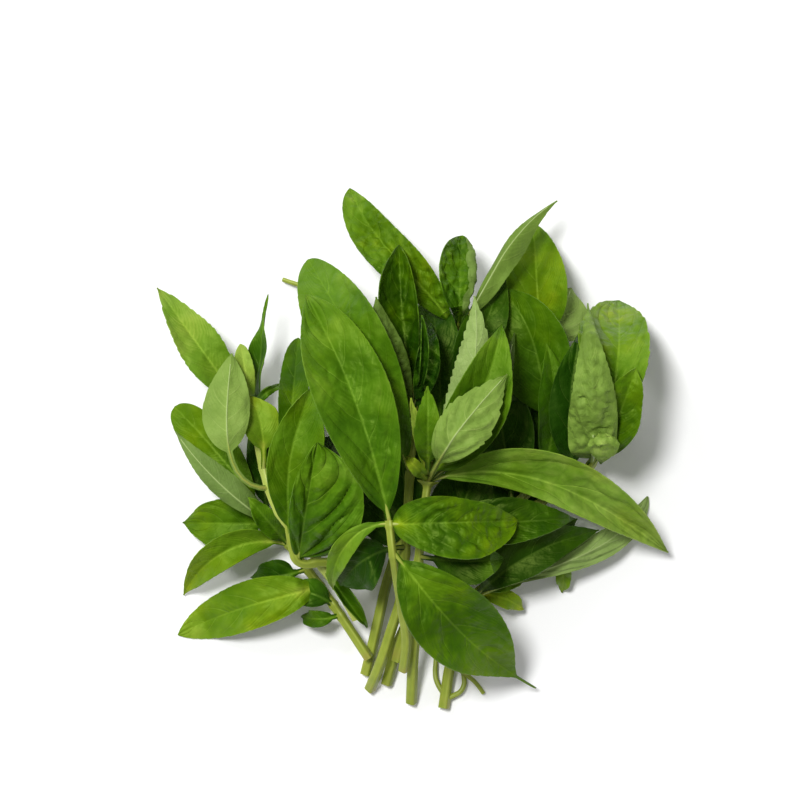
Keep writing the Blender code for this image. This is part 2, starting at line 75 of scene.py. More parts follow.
# How fine the blades and stems are: widths and steps in millimetres, counts, and degrees
TIP_WIDTH = 0.45
STALK_ROWS = 0.08
ROW_STEP = 0.75
COLUMN_STEP = 0.55
ROW_COUNTS = (24, 120)
HALF_COLUMN_COUNTS = (5, 28)
STEM_RINGS = 150
STEM_SIDES = 24
STALK_RINGS = 40
STALK_SIDES = 12
RIB_SIDES = 8
SHARP_EDGE = 50

# The relief of a blade, in millimetres: how far apart its rises and folds are
WANDER_PITCH = 24.0
PATCH_PITCH = 38.0
RISE_PITCH = 34.0
PUCKER_PITCH = 12.0
BLISTER_WIDTH = 11.0
BLISTER_LENGTH = 6.5
RIB_REACH = 0.9
TOOTH_PITCH = 3.6
TABLE_EASING = 0.4

# Places on a blade or stem, and how far a stem swells there, as shares
CURL_FROM = 0.45
TEETH_FROM = 0.22
TEETH_TO = 0.97
RIB_END = 0.93
CRUMPLED_RIB_END = 0.2
JOINT_LENGTH = 0.016
JOINT_SWELL = 0.14
RIDGE = 0.22


@dataclass
class Leaf:
    """One leaf: where on its stem it grows, where its tip lies, how its blade bends, its green."""

    at: float
    tip: tuple
    width: float
    height: float
    tone: float
    arch: float = 5.0
    curve: tuple = (0.0, 0.0)
    stalk: float = 5.0
    roll: float = 0.0
    fold: float = 12.0
    cup: float = 12.0
    wave: float = 0.9
    broad: float = 0.42
    full: float = 1.9
    drip: float = 0.0
    skew: tuple = (0.0, 0.0)
    underside: bool = False
    fresh: float = 0.0
    crinkle: float = 0.3
    teeth: float = 0.22
    curl: float = 0.0
    pairs: int = 0
    lean: float = 0.75
    pleat: float = 0.0


@dataclass
class Sprig:
    """One leafy stem: its route from the cut end to the shoot's tip, its leaves and bare stalks."""

    name: str
    route: list
    leaves: list
    stalks: list = field(default_factory=list)
    rise: float = 6.0
    radius: float = CUT_RADIUS
    tone: float = 0.4


# The bunch, as the solids have it: one function for each leafy stem, from the bottom up


def right_low():
    """Low at the right: two long leaves, one turned over, and a thick cut end with side shoots."""
    route = [(10.2, -89.3), (12.6, -73), (17, -56), (27, -44), (41, -35), (54, -30)]
    leaves = [
        # These two lie low under the others, in the darkest green: painted shade.
        Leaf(0.46, (22, -2), 25, 4, -0.2, arch=3, curve=(20, -16), broad=0.55),
        Leaf(0.78, (42, 22), 23, 4, -0.2, arch=3, curve=(8, -8), broad=0.5),
        Leaf(0.53, (38.2, -54.6), 7, 4, 0.85, stalk=3, curve=(22, -22), fresh=1.0),
        Leaf(0.55, (39.5, -43.6), 4.5, 5, 0.6, stalk=3, fresh=0.6),
        Leaf(0.92, (51.8, -48.6), 6, 0.3, 0.6, stalk=4, curve=(26, -20), fresh=0.4),
        Leaf(
            0.50, (82, -14.7), 10.5, 0.3, 0.8, curve=(0, 32), broad=0.6, skew=(0.4, -0.3),
            underside=True, pairs=5, lean=2.2, pleat=1.2,
        ),
        Leaf(0.74, (57, -22.5), 10, 10, 0.15, roll=15),
        Leaf(
            0.50, (64.5, -26.5), 16, 10, -0.05, arch=6, curve=(18, -16), roll=-8, skew=(-0.25, -0.1),
            fresh=0.9,
        ),
    ]
    stalks = [
        ([(9, -85), (7.4, -79), (7.4, -71)], 1.0),
        ([(13, -86.5), (16.6, -83), (17.2, -78), (16, -72)], 1.0),
        ([(16.5, -74), (20.5, -79.5), (24.2, -84.2)], 0.9),
    ]
    return Sprig("sprig_right_low", route, leaves, stalks, rise=8)


def upper_right():
    """A broad leaf at the top, a large dark one below it and a pale one beside it."""
    route = [
        (-10, -81), (-7.5, -72), (-3, -60), (12, -38), (31, -21), (45, -7), (49.5, 8), (48, 24),
        (44, 37),
    ]
    leaves = [
        # This one lies low under the others, in the darkest green: painted shade.
        Leaf(0.56, (24, 34), 22, 6, -0.2, arch=4, curve=(-6, 6)),
        Leaf(1.0, (54.8, 58.6), 25, 10, 0.8, curve=(-8, 8), underside=True, fresh=0.5),
        Leaf(1.0, (41.4, 83), 25, 4, 0.56, arch=9, roll=6, fold=18, broad=0.4, full=2.2, fresh=0.9),
        Leaf(0.80, (28.9, 59), 27, 16, 0.3, arch=8, roll=12, curve=(0, 26), full=2.2, fresh=0.7),
        Leaf(0.66, (45.8, 38.8), 13, 16, 0.15, roll=-15, arch=6, curve=(-16, 16), fresh=0.6),
    ]
    return Sprig("sprig_upper_right", route, leaves, rise=10)


def right_top():
    """The rounded leaves at the right edge, and a pale one, turned over and crumpled."""
    route = [(-6.4, -72.5), (-2.5, -60), (8, -45), (27, -28), (48, -14), (62, -3), (67, 14)]
    leaves = [
        # This one lies low under the others, in the darkest green: painted shade.
        Leaf(0.78, (57.5, 43), 15, 8, -0.1, curve=(10, -10)),
        Leaf(
            1.0, (71.8, 54.3), 26.5, 3, 0.64, arch=11, curve=(-6, 6), broad=0.46, full=1.5,
            skew=(0.05, -0.3), cup=20, fresh=0.5, crinkle=0.6, teeth=0.7, pleat=0.35,
        ),
        Leaf(
            0.84, (76.6, 30.4), 17.5, 6, 0.44, roll=-10, curve=(-12, 6), broad=0.36, full=1.5,
            skew=(-0.25, 0.05), fresh=1.0, crinkle=0.6,
        ),
        Leaf(
            0.85, (60.4, 53), 19.4, 22, 0.55, broad=0.2, full=1.5, cup=25, stalk=2, underside=True,
            fresh=0.9, crinkle=1.5, teeth=0.5,
        ),
        Leaf(
            0.97, (64.8, -3), 12.5, 22, 0.75, arch=2, stalk=2, cup=30, underside=True, fresh=1.0,
            crinkle=1.8,
        ),
    ]
    return Sprig("sprig_right_top", route, leaves, rise=12)


def upper_left():
    """The long leaf at the top, the small cupped one and the narrow curled one."""
    route = [
        (-17.3, -77.5), (-14.8, -67), (-12.2, -55), (-9.6, -44), (-5, -31), (1, -18), (6, -3), (11, 17),
        (15, 43),
    ]
    leaves = [
        # These two lie low under the others, in the darkest green: painted shade.
        Leaf(0.34, (-12, -3), 20, 7, -0.2, curve=(8, -8)),
        Leaf(0.43, (-10, 27), 21, 8, -0.2, curve=(-6, 6)),
        Leaf(0.74, (17, 56), 14, 10, 0.05, curve=(-10, 6)),
        Leaf(0.70, (4.5, 62), 19, 8, 0.05, curve=(-6, 6)),
        Leaf(0.84, (31, 64.5), 15, 10, 0.1, curve=(-8, 8), fresh=0.5),
        Leaf(
            1.0, (-23, 93.8), 17.5, 2, 0.54, arch=9, fold=20, curve=(-2, -14), broad=0.52, full=1.6,
            skew=(0.1, -0.2), fresh=0.6, crinkle=1.1,
        ),
        Leaf(
            1.0, (49.8, 89), 8.5, 18, 0.4, arch=6, roll=20, curve=(3, -20), fold=30, broad=0.48,
            full=2.2, skew=(-0.3, -0.3), underside=True, fresh=0.9,
        ),
        Leaf(
            1.0, (16.3, 76.8), 19.5, 18, 0.38, cup=40, fold=20, broad=0.56, full=1.7, skew=(0.15, 0),
            fresh=0.4, crinkle=1.2, curl=120,
        ),
    ]
    return Sprig("sprig_upper_left", route, leaves, rise=14)


def left_low():
    """The fan of leaves at the lower left."""
    route = [(-16.2, -71.5), (-23.6, -60.3), (-32, -48), (-41.5, -35.5), (-49, -25), (-55, -18)]
    leaves = [
        Leaf(0.34, (-42, -47.5), 11, 2, 0.2, stalk=3, curve=(-16, 16)),
        Leaf(0.27, (-40, -57), 6.5, 3, 0.35, stalk=3, curve=(14, -14), fresh=0.6),
        Leaf(0.57, (-57.8, -43.2), 13, 3, 0.2, curve=(8, -8), broad=0.34, fresh=0.5),
        # This one lies low under the others, in the darkest green: painted shade.
        Leaf(0.92, (-56, 14), 11, 5, -0.2),
        Leaf(0.88, (-81.8, -24), 19.5, 2, 0.42, broad=0.38, fresh=0.7),
        Leaf(
            0.92, (-84.6, 16.9), 16, 4, 0.48, stalk=8, curve=(-4, 4), broad=0.58, full=1.25, fresh=1.0,
        ),
        Leaf(0.84, (-84, 8), 9.5, 6, 0.4, arch=6, curve=(8, -10), skew=(-0.3, -0.1), underside=True),
        Leaf(
            0.74, (-81.5, -49.5), 13, 1, 0.66, arch=7, curve=(-42, 38), fold=24, skew=(0.1, 0),
            fresh=1.0,
        ),
        Leaf(0.74, (-58.3, -14.8), 8, 12, 0.45, stalk=3, fresh=0.5),
        Leaf(
            0.46, (-83.6, -63.6), 17.6, -10, 0.66, arch=8, curve=(-4, 8), stalk=2, fold=5, cup=0,
            wave=0.3, broad=0.43, full=1.45, fresh=0.9,
        ),
    ]
    return Sprig("sprig_left_low", route, leaves, rise=8, radius=1.6)


def left_top():
    """The bright young shoot at the left, with a turned leaf on a long stalk."""
    route = [(-20.5, -57.5), (-26, -48), (-37, -33), (-47.5, -20), (-53, -5), (-57, 16)]
    leaves = [
        Leaf(
            0.26, (-16.8, -60.8), 10, 9, 0.35, arch=3, stalk=2, fold=50, cup=30, skew=(-0.4, -0.4),
            fresh=0.4,
        ),
        Leaf(0.55, (-43.5, 22), 9.5, 8, 0.2, curve=(-4, 4)),
        Leaf(1.0, (-51.4, 56.2), 11, 20, 0.4, roll=55, curve=(-2, -2), broad=0.3, full=2.8),
        Leaf(
            1.0, (-90.7, 58.7), 15.6, 8, 0.78, arch=6, curve=(8, 0), roll=-12, skew=(-0.05, 0),
            teeth=0.5,
        ),
        Leaf(1.0, (-61, 38.8), 7, 22, 0.95, broad=0.52, full=1.4),
        Leaf(1.0, (-45.6, 25), 3, 16, 0.4, arch=6, stalk=3, curve=(20, -20)),
        Leaf(0.74, (-57.5, 20.5), 14, 20, 0.8, stalk=8, roll=-10, curve=(-10, 20), fresh=0.8),
        Leaf(
            0.66, (-64, 35.5), 17.5, 26, 0.68, stalk=21, curve=(75, -20), underside=True, full=1.7,
            fresh=0.7,
        ),
    ]
    return Sprig("sprig_left_top", route, leaves, rise=14, radius=1.6, tone=0.8)


def centre_left():
    """The leaves left of the biggest one, with the broad ribbed one against its foot."""
    route = [(-13, -41), (-24, -38), (-34, -37.5), (-40.5, -37.5), (-43.5, -28), (-45, -10), (-43, 6)]
    leaves = [
        # This one lies low under the others, in the darkest green: painted shade.
        Leaf(0.66, (-26, 8), 14, 10, -0.2, curve=(-8, 8)),
        Leaf(0.80, (-41, 41), 11, 12, 0.3, broad=0.55, full=1.4, fresh=0.8),
        Leaf(
            0.50, (-35.2, 25), 21, 12, 0.52, curve=(16, -16), fold=22, cup=18, skew=(0.2, 0.2),
            fresh=0.45,
        ),
        Leaf(
            0.40, (-34, 4.5), 26.5, 14, 0.5, stalk=1.5, roll=-10, broad=0.4, full=1.25,
            skew=(0.58, 0.55), crinkle=0.6, pairs=4, lean=0.6, pleat=1.3,
        ),
    ]
    return Sprig("sprig_centre_left", route, leaves, rise=14, radius=1.6)


def centre_back():
    """The big back leaf, a cupped leaf at the top and small crumpled ones."""
    route = [(-15.8, -82.6), (-11.8, -72.5), (-8.2, -61), (-5, -50), (-3.5, -35), (-2, -10), (0, 20)]
    leaves = [
        # This leaf lies in the shade of those above, in the darkest green: painted shade.
        Leaf(0.50, (-26, -45.5), 20, 8, -0.2, stalk=7, curve=(-30, 30)),
        Leaf(
            1.0, (-5.6, 73.4), 24, 20, 0.18, cup=50, fold=30, curve=(6, -4), broad=0.48,
            skew=(-0.3, -0.1), fresh=1.0, crinkle=0.9,
        ),
        Leaf(0.90, (-13.5, 55), 13.5, 18, 0.2, curve=(8, -8), underside=True, fresh=0.9, crinkle=1.4),
        Leaf(0.94, (5.5, 46), 10, 20, 0.1, curve=(-10, 6), cup=40, crinkle=1.6),
        Leaf(0.97, (2.3, 48.6), 7, 24, 0.25, curve=(-14, 14), fold=50, cup=40, crinkle=1.4),
        Leaf(
            0.75, (-37.5, 68.4), 28, 18, 0.56, arch=10, roll=6, fold=18, curve=(-4, 6), broad=0.52,
            full=1.25, skew=(-0.12, -0.1), crinkle=0.4,
        ),
    ]
    stalks = [([(-1, 15), (-22, 45), (-38, 59), (-46.5, 61.7)], 1.0)]
    return Sprig("sprig_centre_back", route, leaves, stalks, rise=14)


def centre_right():
    """The pale turned leaves, the long arched one and tiny ones in the joints."""
    route = [(-1.2, -87.3), (-0.7, -73.5), (0.3, -58), (1, -40), (2.5, -24.5), (4.5, -9)]
    leaves = [
        Leaf(0.80, (56, -22.3), 18, 14, 0.1, roll=12, fresh=0.8, crinkle=0.6),
        Leaf(0.66, (31, -36), 16, 12, 0.1, curve=(-8, 8), fresh=0.4),
        Leaf(
            1.0, (89, -34.4), 21, 8, 0.86, arch=10, curve=(34, -20), fold=34, broad=0.46,
            skew=(-0.2, -0.3), crinkle=0.4, pairs=3, lean=1.8, pleat=0.4,
        ),
        Leaf(1.0, (20.6, 55.4), 15, 22, 0.9, curve=(-20, 20), underside=True, crinkle=0.6, teeth=1.0),
        Leaf(1.0, (34.6, 42.6), 9, 20, 0.1, curve=(-26, 20), underside=True),
        Leaf(1.0, (30.2, 45.6), 23, 22, 0.46, arch=8, roll=-6, curve=(-12, 14), fold=24, fresh=0.5),
        Leaf(1.0, (-1.5, 20), 4, 22, 0.9, fresh=0.5),
        Leaf(1.0, (4.3, 24), 10, 26, 0.42, stalk=7, broad=0.36, fresh=0.6, teeth=0.6),
        Leaf(
            1.0, (31.8, 28.2), 19, 24, 0.66, stalk=8, roll=10, curve=(10, -6), broad=0.38,
            underside=True, fresh=0.8, crinkle=0.7, teeth=1.2, pleat=0.5,
        ),
        Leaf(1.0, (-3, -0.5), 5, 30, 0.8, stalk=3, fresh=0.6),
    ]
    return Sprig("sprig_centre_right", route, leaves, rise=16)


def front():
    """On top: the biggest leaf, a small curled one, and two to the right."""
    route = [(-4, -75.5), (-3, -65), (-4.5, -54), (-6.5, -42), (-8, -32), (-9, -22.5)]
    leaves = [
        Leaf(
            1.0, (-38, 56), 31, 24, 0.52, arch=10, stalk=2.5, fold=24, roll=-6, curve=(-8, 8),
            broad=0.49, skew=(-0.15, 0.1), crinkle=0.45, pleat=0.25,
        ),
        Leaf(0.97, (-28.7, -46.8), 8.5, 18, 0.74, curve=(-56, 46), stalk=4, fold=28),
        Leaf(
            0.97, (35.6, -22.6), 22.5, 20, 0.42, arch=8, stalk=1, cup=16, full=1.35, skew=(-0.05, 0.4),
            fresh=1.0, crinkle=0.95,
        ),
        Leaf(
            0.80, (42.6, -82.2), 30.6, 4, 0.42, arch=12, stalk=4, curve=(-8, 14), fold=16, full=2.3,
            drip=0.13, skew=(-0.04, -0.15), fresh=0.8, crinkle=0.5,
        ),
    ]
    return Sprig("sprig_front", route, leaves, rise=42, radius=1.7)


SPRIGS = (
    right_low, upper_right, right_top, upper_left, left_low, left_top, centre_left, centre_back,
    centre_right, front,
)


# Laying the stems and leaves down, as the solids do


class Pile:
    """The top of what has been laid down so far, as heights over the plan."""

    def __init__(self, ground):
        cells = int(2 * MAP_HALF / CELL) + 1
        self.top = np.full((cells, cells), float(ground))

    def cells(self, x, y):
        last = len(self.top) - 1
        column = np.clip(np.rint((x + MAP_HALF) / CELL), 0, last)
        row = np.clip(np.rint((y + MAP_HALF) / CELL), 0, last)
        return column.astype(int), row.astype(int)

    def height(self, x, y, reach):
        """The highest top within reach of each point."""
        highest = np.full(np.shape(x), -1e6)
        steps = np.arange(-math.ceil(reach), math.ceil(reach) + 1)
        for across in steps:
            for along in steps:
                if math.hypot(across, along) <= reach + 0.5:
                    found = self.top[self.cells(x + across, y + along)]
                    highest = np.maximum(highest, found)
        return highest

    def add(self, x, y, z):
        np.maximum.at(self.top, self.cells(x.ravel(), y.ravel()), z.ravel())


def smooth_step(value):
    value = np.clip(value, 0.0, 1.0)
    return value * value * (3.0 - 2.0 * value)


def unit(vectors):
    """The vectors at length one."""
    return vectors / np.maximum(np.linalg.norm(vectors, axis=-1, keepdims=True), 1e-9)


def even_shares(count):
    """Evenly spaced shares, from 0 to 1."""
    return np.linspace(0.0, 1.0, count)


def spread(values, wanted):
    """Values known at even shares, read at the wanted ones."""
    return np.interp(wanted, even_shares(len(values)), values)


def sampled(values, places, wanted):
    """Each column of the values, known at some places, read at the wanted ones."""
    return np.column_stack([np.interp(wanted, places, column) for column in values.T])


def evenly(line, count):
    """The line again as evenly spaced points, and its length."""
    lengths = np.r_[0.0, np.cumsum(np.linalg.norm(np.diff(line, axis=0), axis=1))]
    return sampled(line, lengths, np.linspace(0.0, lengths[-1], count)), lengths[-1]


def sideways(plan):
    """The direction straight across a line in the plan, at each of its points."""
    steps = np.gradient(plan, axis=0)
    return unit(np.column_stack([-steps[:, 1], steps[:, 0]]))


def crown(offset):
    """How high a round stem's top is, as a share of its radius, at this share off its middle."""
    return math.sqrt(1.0 - ROUNDNESS * offset**2)


def through(points, count):
    """Evenly spaced points of a smooth curve through the given ones, as a Catmull-Rom spline."""
    points = np.array(points, float)
    ends = [2 * points[0] - points[1], *points, 2 * points[-1] - points[-2]]
    found = []
    t = np.linspace(0.0, 1.0, 24, endpoint=False)[:, None]
    for a, b, c, d in zip(ends, ends[1:], ends[2:], ends[3:]):
        bend = 2 * a - 5 * b + 4 * c - d
        found.append(0.5 * (2 * b + (c - a) * t + bend * t**2 + (3 * b - 3 * c + d - a) * t**3))
    return evenly(np.vstack([*found, points[-1:]]), count)[0]


def taut(along, need):
    """The height of a string pulled tight over what is needed: the least concave line above it."""
    hull = []
    for point in zip(along, need):
        while len(hull) > 1:
            (x0, y0), (x1, y1) = hull[-2], hull[-1]
            if (x1 - x0) * (point[1] - y0) < (y1 - y0) * (point[0] - x0):
                break
            hull.pop()
        hull.append(point)
    return np.interp(along, [p[0] for p in hull], [p[1] for p in hull])


def softened(values, passes):
    """The values with their corners rounded, ends kept."""
    for _ in range(passes):
        inner = (values[:-2] + 2 * values[1:-1] + values[2:]) / 4
        values = np.r_[values[0], inner, values[-1]]
    return values


def eased_over(along, need, passes):
    """A smooth height that nowhere falls below what is needed."""
    height = taut(along, need)
    for _ in range(passes):
        height = np.maximum(softened(height, 4), need)
    return height


def lay_stem(sprig, pile):
    """The stem's centreline in space, and its radius at each point."""
    plan = through(sprig.route, FINE_STEM)
    share = even_shares(FINE_STEM)
    radius = sprig.radius + (SHOOT_RADIUS - sprig.radius) * share
    side = sideways(plan)
    need = radius + sprig.rise * smooth_step(share * 1.2)
    for offset in (-1.0, -0.6, 0.0, 0.6, 1.0):
        x, y = (plan + side * (offset * radius)[:, None]).T
        below = pile.height(x, y, 1.0)
        bare = below + GAP + radius * crown(offset)
        need = np.maximum(need, np.where(below > 0.0, bare, 0.0))
    leafy = min(leaf.at for leaf in sprig.leaves)
    wide = pile.height(*plan.T, LEAF_REACH) + GAP + BLADE_THICKNESS
    need = np.where(share > leafy - 0.04, np.maximum(need, wide), need)
    height = eased_over(share, need, 12)
    return np.column_stack([plan, height]), radius


def midrib(leaf, node):
    """The leaf's middle line from its stem to its tip, as even points in space."""
    start, tip = np.array(node[:2]), np.array(leaf.tip, float)
    chord = tip - start
    reach = 0.38
    turned = []
    for degrees in leaf.curve:
        c, s = math.cos(math.radians(degrees)), math.sin(math.radians(degrees))
        turned.append(np.array([chord[0] * c - chord[1] * s, chord[0] * s + chord[1] * c]))
    first, second = start + reach * turned[0], tip - reach * turned[1]
    t = even_shares(MIDRIB_POINTS)[:, None]
    back = 1.0 - t
    plan = back**3 * start + 3 * back**2 * t * first + 3 * back * t**2 * second + t**3 * tip
    t = t[:, 0]
    height = node[2] + (leaf.height - node[2]) * t + 4 * leaf.arch * t * (1.0 - t)
    return evenly(np.column_stack([plan, height]), MIDRIB_POINTS)


def half_width(leaf, blade):
    """Half the blade's width at each share of its length, from its base to its tip."""
    low, high = leaf.broad * leaf.full, (1.0 - leaf.broad) * leaf.full
    inside = np.clip(blade / (1.0 - leaf.drip), 1e-6, 1.0 - 1e-6)
    outline = (inside / leaf.broad) ** low * ((1.0 - inside) / (1.0 - leaf.broad)) ** high
    narrowest = STALK_WIDTH + (TIP_WIDTH - STALK_WIDTH) * blade
    return np.maximum(leaf.width * outline, narrowest) / 2


def skewed(leaf, blade, across):
    """How much broader than its mean each side of the blade is, as a share."""
    return np.sign(across) * np.interp(blade, (0.0, 1.0), leaf.skew)[:, None]


def blade_points(leaf, line, length, along, across):
    """The blade's middle surface: a point for each share along the leaf and across it."""
    even = even_shares(len(line))
    rib = sampled(line, even, along)
    tangent = unit(sampled(np.gradient(line, axis=0), even, along))
    right = unit(np.cross(tangent, [0.0, 0.0, 1.0]))
    up = np.cross(right, tangent)
    blade = np.clip((along * length - leaf.stalk) / (length - leaf.stalk), 0.0, 1.0)
    turn = math.radians(leaf.roll + 180.0 * leaf.underside)
    side = right * math.cos(turn) + up * math.sin(turn)
    face = up * math.cos(turn) - right * math.sin(turn)
    opened = smooth_step(blade / 0.15) * smooth_step((1.0 - blade) / 0.1 + 0.3)
    shares = even_shares(FOLD_STEPS + 1)
    bend = math.radians(leaf.fold) * (1.0 - np.exp(-shares / 0.1)) + math.radians(leaf.cup) * shares
    bend = opened[:, None] * bend
    step = shares[1]
    middle = (bend[:, 1:] + bend[:, :-1]) / 2
    out = np.c_[np.zeros(len(along)), np.cumsum(np.cos(middle), axis=1) * step]
    rise = np.c_[np.zeros(len(along)), np.cumsum(np.sin(middle), axis=1) * step]
    place = np.abs(across) * FOLD_STEPS
    low = np.minimum(place.astype(int), FOLD_STEPS - 1)
    part = place - low
    out = (out[:, low] * (1 - part) + out[:, low + 1] * part) * np.sign(across)
    rise = rise[:, low] * (1 - part) + rise[:, low + 1] * part
    uneven = np.sin(5.0 * blade[:, None] + 2.1 * np.sign(across) + leaf.width)
    half = half_width(leaf, blade)[:, None] * (1.0 + 0.06 * uneven + skewed(leaf, blade, across))
    phase = 2 * math.pi * (WAVES * blade[:, None] + 0.21 * np.sign(across) + 0.13 * leaf.width)
    ripple = leaf.wave * across**2 * np.sin(phase) * np.sqrt(np.sin(math.pi * blade))[:, None]
    rise = rise * half + ripple
    return rib[:, None] + (out * half)[..., None] * side[:, None] + rise[..., None] * face[:, None]


def upright_thickness(points):
    """How far half the blade's thickness reaches straight up, at each point of a slanting blade."""
    normal = unit(np.cross(np.gradient(points, axis=0), np.gradient(points, axis=1)))
    return BLADE_THICKNESS / 2 / np.clip(np.abs(normal[..., 2]), 0.3, 1.0)


def lay_leaf(leaf, stem, below, own):
    """Lowers a leaf on what lies under it. Gives its middle line, length and lift along it."""
    node = stem[round(leaf.at * (len(stem) - 1))]
    line, length = midrib(leaf, node)
    along, across = even_shares(FINE_ROWS), np.linspace(-1.0, 1.0, FINE_COLUMNS)
    points = blade_points(leaf, line, length, along, across)
    x, y, z = np.moveaxis(points, 2, 0)
    spare = z - upright_thickness(points) - GAP
    away = np.hypot(x - node[0], y - node[1])
    mine, under = own.height(x, y, 1.0) - spare, below.height(x, y, 1.0)
    need = np.maximum(under - spare, np.where(away > FUSED_WITHIN, mine, 0.0))
    need = np.where((under > 0.0) | (mine > 0.0), need, 0.0)
    need = np.maximum(need.max(axis=1), 0.0)
    need[0] = 0.0
    return line, length, eased_over(along, need, 3)


def laid_points(leaf, laid, along, across):
    """The blade's middle surface where it lies, flat where it meets the table."""
    line, length, lift = laid
    points = blade_points(leaf, line, length, along, across)
    points[..., 2] += spread(lift, along)[:, None]
    points[..., 2] = np.maximum(points[..., 2], BLADE_THICKNESS / 2)
    return points


def add_blade(pile, leaf, laid):
    along, across = even_shares(4 * FINE_ROWS), np.linspace(-1.0, 1.0, 4 * FINE_COLUMNS)
    points = laid_points(leaf, laid, along, across)
    x, y, z = np.moveaxis(points, 2, 0)
    pile.add(x, y, z + upright_thickness(points))


def add_stem(pile, stem, radius):
    side = sideways(stem[:, :2])
    fine, even = even_shares(4 * len(stem)), even_shares(len(stem))
    for offset in (-1.0, -0.5, 0.0, 0.5, 1.0):
        edge = stem[:, :2] + side * (offset * radius)[:, None]
        top = stem[:, 2] + radius * crown(offset)
        pile.add(*sampled(np.column_stack([edge, top]), even, fine).T)


def lay_stalk(route, thickness, stem, pile):
    """A bare side stalk, from inside the stem at its nearest to the route's start, to the end."""
    root = stem[np.argmin(np.hypot(*(stem[:, :2] - route[0]).T))]
    plan = through([root[:2], *route[1:]], STALK_POINTS)
    share = even_shares(STALK_POINTS)
    need = pile.height(*plan.T, 1.5)
    need = np.where(need > 0.0, need + GAP, 0.0) + thickness
    need[0] = root[2]
    height = np.maximum(eased_over(share, need, 3), 0.0)
    height[0] = root[2]
    return np.column_stack([plan, height])[::4]


@functools.cache
def laid_bunch():
    """Every stem, stalk and leaf where it lies, by the name of its leafy stem."""
    pile = Pile(0.0)
    bunch = {}
    for sprig in [grown() for grown in SPRIGS]:
        stem, radius = lay_stem(sprig, pile)
        own = Pile(-1e6)
        add_stem(own, stem, radius)
        stalks = []
        for route, thickness in sprig.stalks:
            line = lay_stalk(route, thickness, stem, pile)
            radii = np.linspace(thickness, 0.8 * thickness, len(line))
            add_stem(own, line, radii)
            stalks.append((line, radii))
        leaves = []
        for leaf in sprig.leaves:
            laid = lay_leaf(leaf, stem, pile, own)
            add_blade(own, leaf, laid)
            leaves.append((leaf, laid))
        pile.top = np.maximum(pile.top, own.top)
        bunch[sprig.name] = (sprig, stem, radius, stalks, leaves)
    return bunch


# Shapes


def deselect_all():
    for thing in list(bpy.context.selected_objects):
        thing.select_set(False)


def add_grid(name, columns, rows):
    """A flat grid from -1 to 1, with the column and row of each of its vertices."""
    deselect_all()
    bpy.ops.mesh.primitive_grid_add(x_subdivisions=columns, y_subdivisions=rows, size=2.0)
    thing = bpy.context.object
    thing.name = name
    places = np.empty(3 * len(thing.data.vertices))
    thing.data.vertices.foreach_get("co", places)
    places = places.reshape(-1, 3)
    column = np.rint((places[:, 0] + 1.0) / 2.0 * columns).astype(int)
    row = np.rint((places[:, 1] + 1.0) / 2.0 * rows).astype(int)
    return thing, row, column


def set_points(thing, points):
    """Puts the vertices at these points, given in millimetres in the bunch's own plan."""
    shifted = (points + [*ORIGIN_SHIFT, 0.0]) * METRES
    thing.data.vertices.foreach_set("co", shifted.ravel())
    thing.data.update()


def set_number(thing, name, values):
    values = np.broadcast_to(np.asarray(values, np.float32), len(thing.data.vertices))
    attribute = thing.data.attributes.new(name, "FLOAT", "POINT")
    attribute.data.foreach_set("value", np.ascontiguousarray(values))


def ripples(x, y, seed):
    """A smooth uneven surface between about -1 and 1, made of crossing waves."""
    total = 0.0
    for index in range(6):
        turn = seed * 1.7 + index * 2.399
        pitch = 1.0 + 0.37 * index
        wave = (x * math.cos(turn) + y * math.sin(turn)) * pitch
        total = total + np.sin(2 * math.pi * wave + seed + 3.1 * index) / (1.0 + 0.4 * index)
    return total / 2.4


def vein_pairs(leaf, length):
    return leaf.pairs or round(max(3.0, min(6.0, 2.0 + (length - leaf.stalk) / 17.0)))


def vein_lean(leaf, length):
    """How far up the blade a side vein has climbed where it meets the margin."""
    return leaf.lean * leaf.width / length


def vein_phase(leaf, length, blade, across):
    """Counts the side veins up the blade: whole numbers lie on a vein, on both sides of the rib."""
    side = np.abs(across)
    climb = vein_lean(leaf, length) * (1.0 + skewed(leaf, blade, across))
    climb = climb * (0.6 * side + 0.6 * side**2)
    return vein_pairs(leaf, length) * (blade[:, None] - climb) + 0.25 * np.sign(across)


def curled_over(leaf, points, across):
    """Rolls the right margin inwards, round a line along the blade, where the leaf has a curl."""
    if not leaf.curl:
        return points
    column = np.searchsorted(across, CURL_FROM)
    for place in range(column, points.shape[1]):
        share = (across[place] - across[column]) / (1.0 - across[column])
        turn = math.radians(leaf.curl) * smooth_step(share * 1.2)
        step = points[:, place] - points[:, place - 1]
        forward = unit(np.gradient(points[:, place - 1], axis=0))
        turned = step * math.cos(turn) + np.cross(forward, step) * -math.sin(turn)
        points[:, place + 1 :] += (points[:, place - 1] + turned - points[:, place])[:, None]
        points[:, place] = points[:, place - 1] + turned
    return points


def pillows(leaf, length, blade, across, points, seed):
    """How far the blade rises between its side veins and sinks along them, in patches."""
    x, y = points[..., 0], points[..., 1]
    wander = 0.35 * ripples(x / WANDER_PITCH, y / WANDER_PITCH, seed + 1.0)
    phase = vein_phase(leaf, length, blade, across) + wander
    rise = np.abs(np.sin(math.pi * phase)) ** 0.8 - 0.6
    patch = smooth_step(0.6 + 0.9 * ripples(x / PATCH_PITCH, y / PATCH_PITCH, seed + 6.0))
    depth = bpy.context.scene.basil_sizes.quilting * ((0.2 + 0.7 * leaf.crinkle) * patch + leaf.pleat)
    rise = depth * rise * smooth_step(np.abs(across)[None, :] / 0.25)
    return rise * smooth_step((1.0 - blade) / 0.5)[:, None]


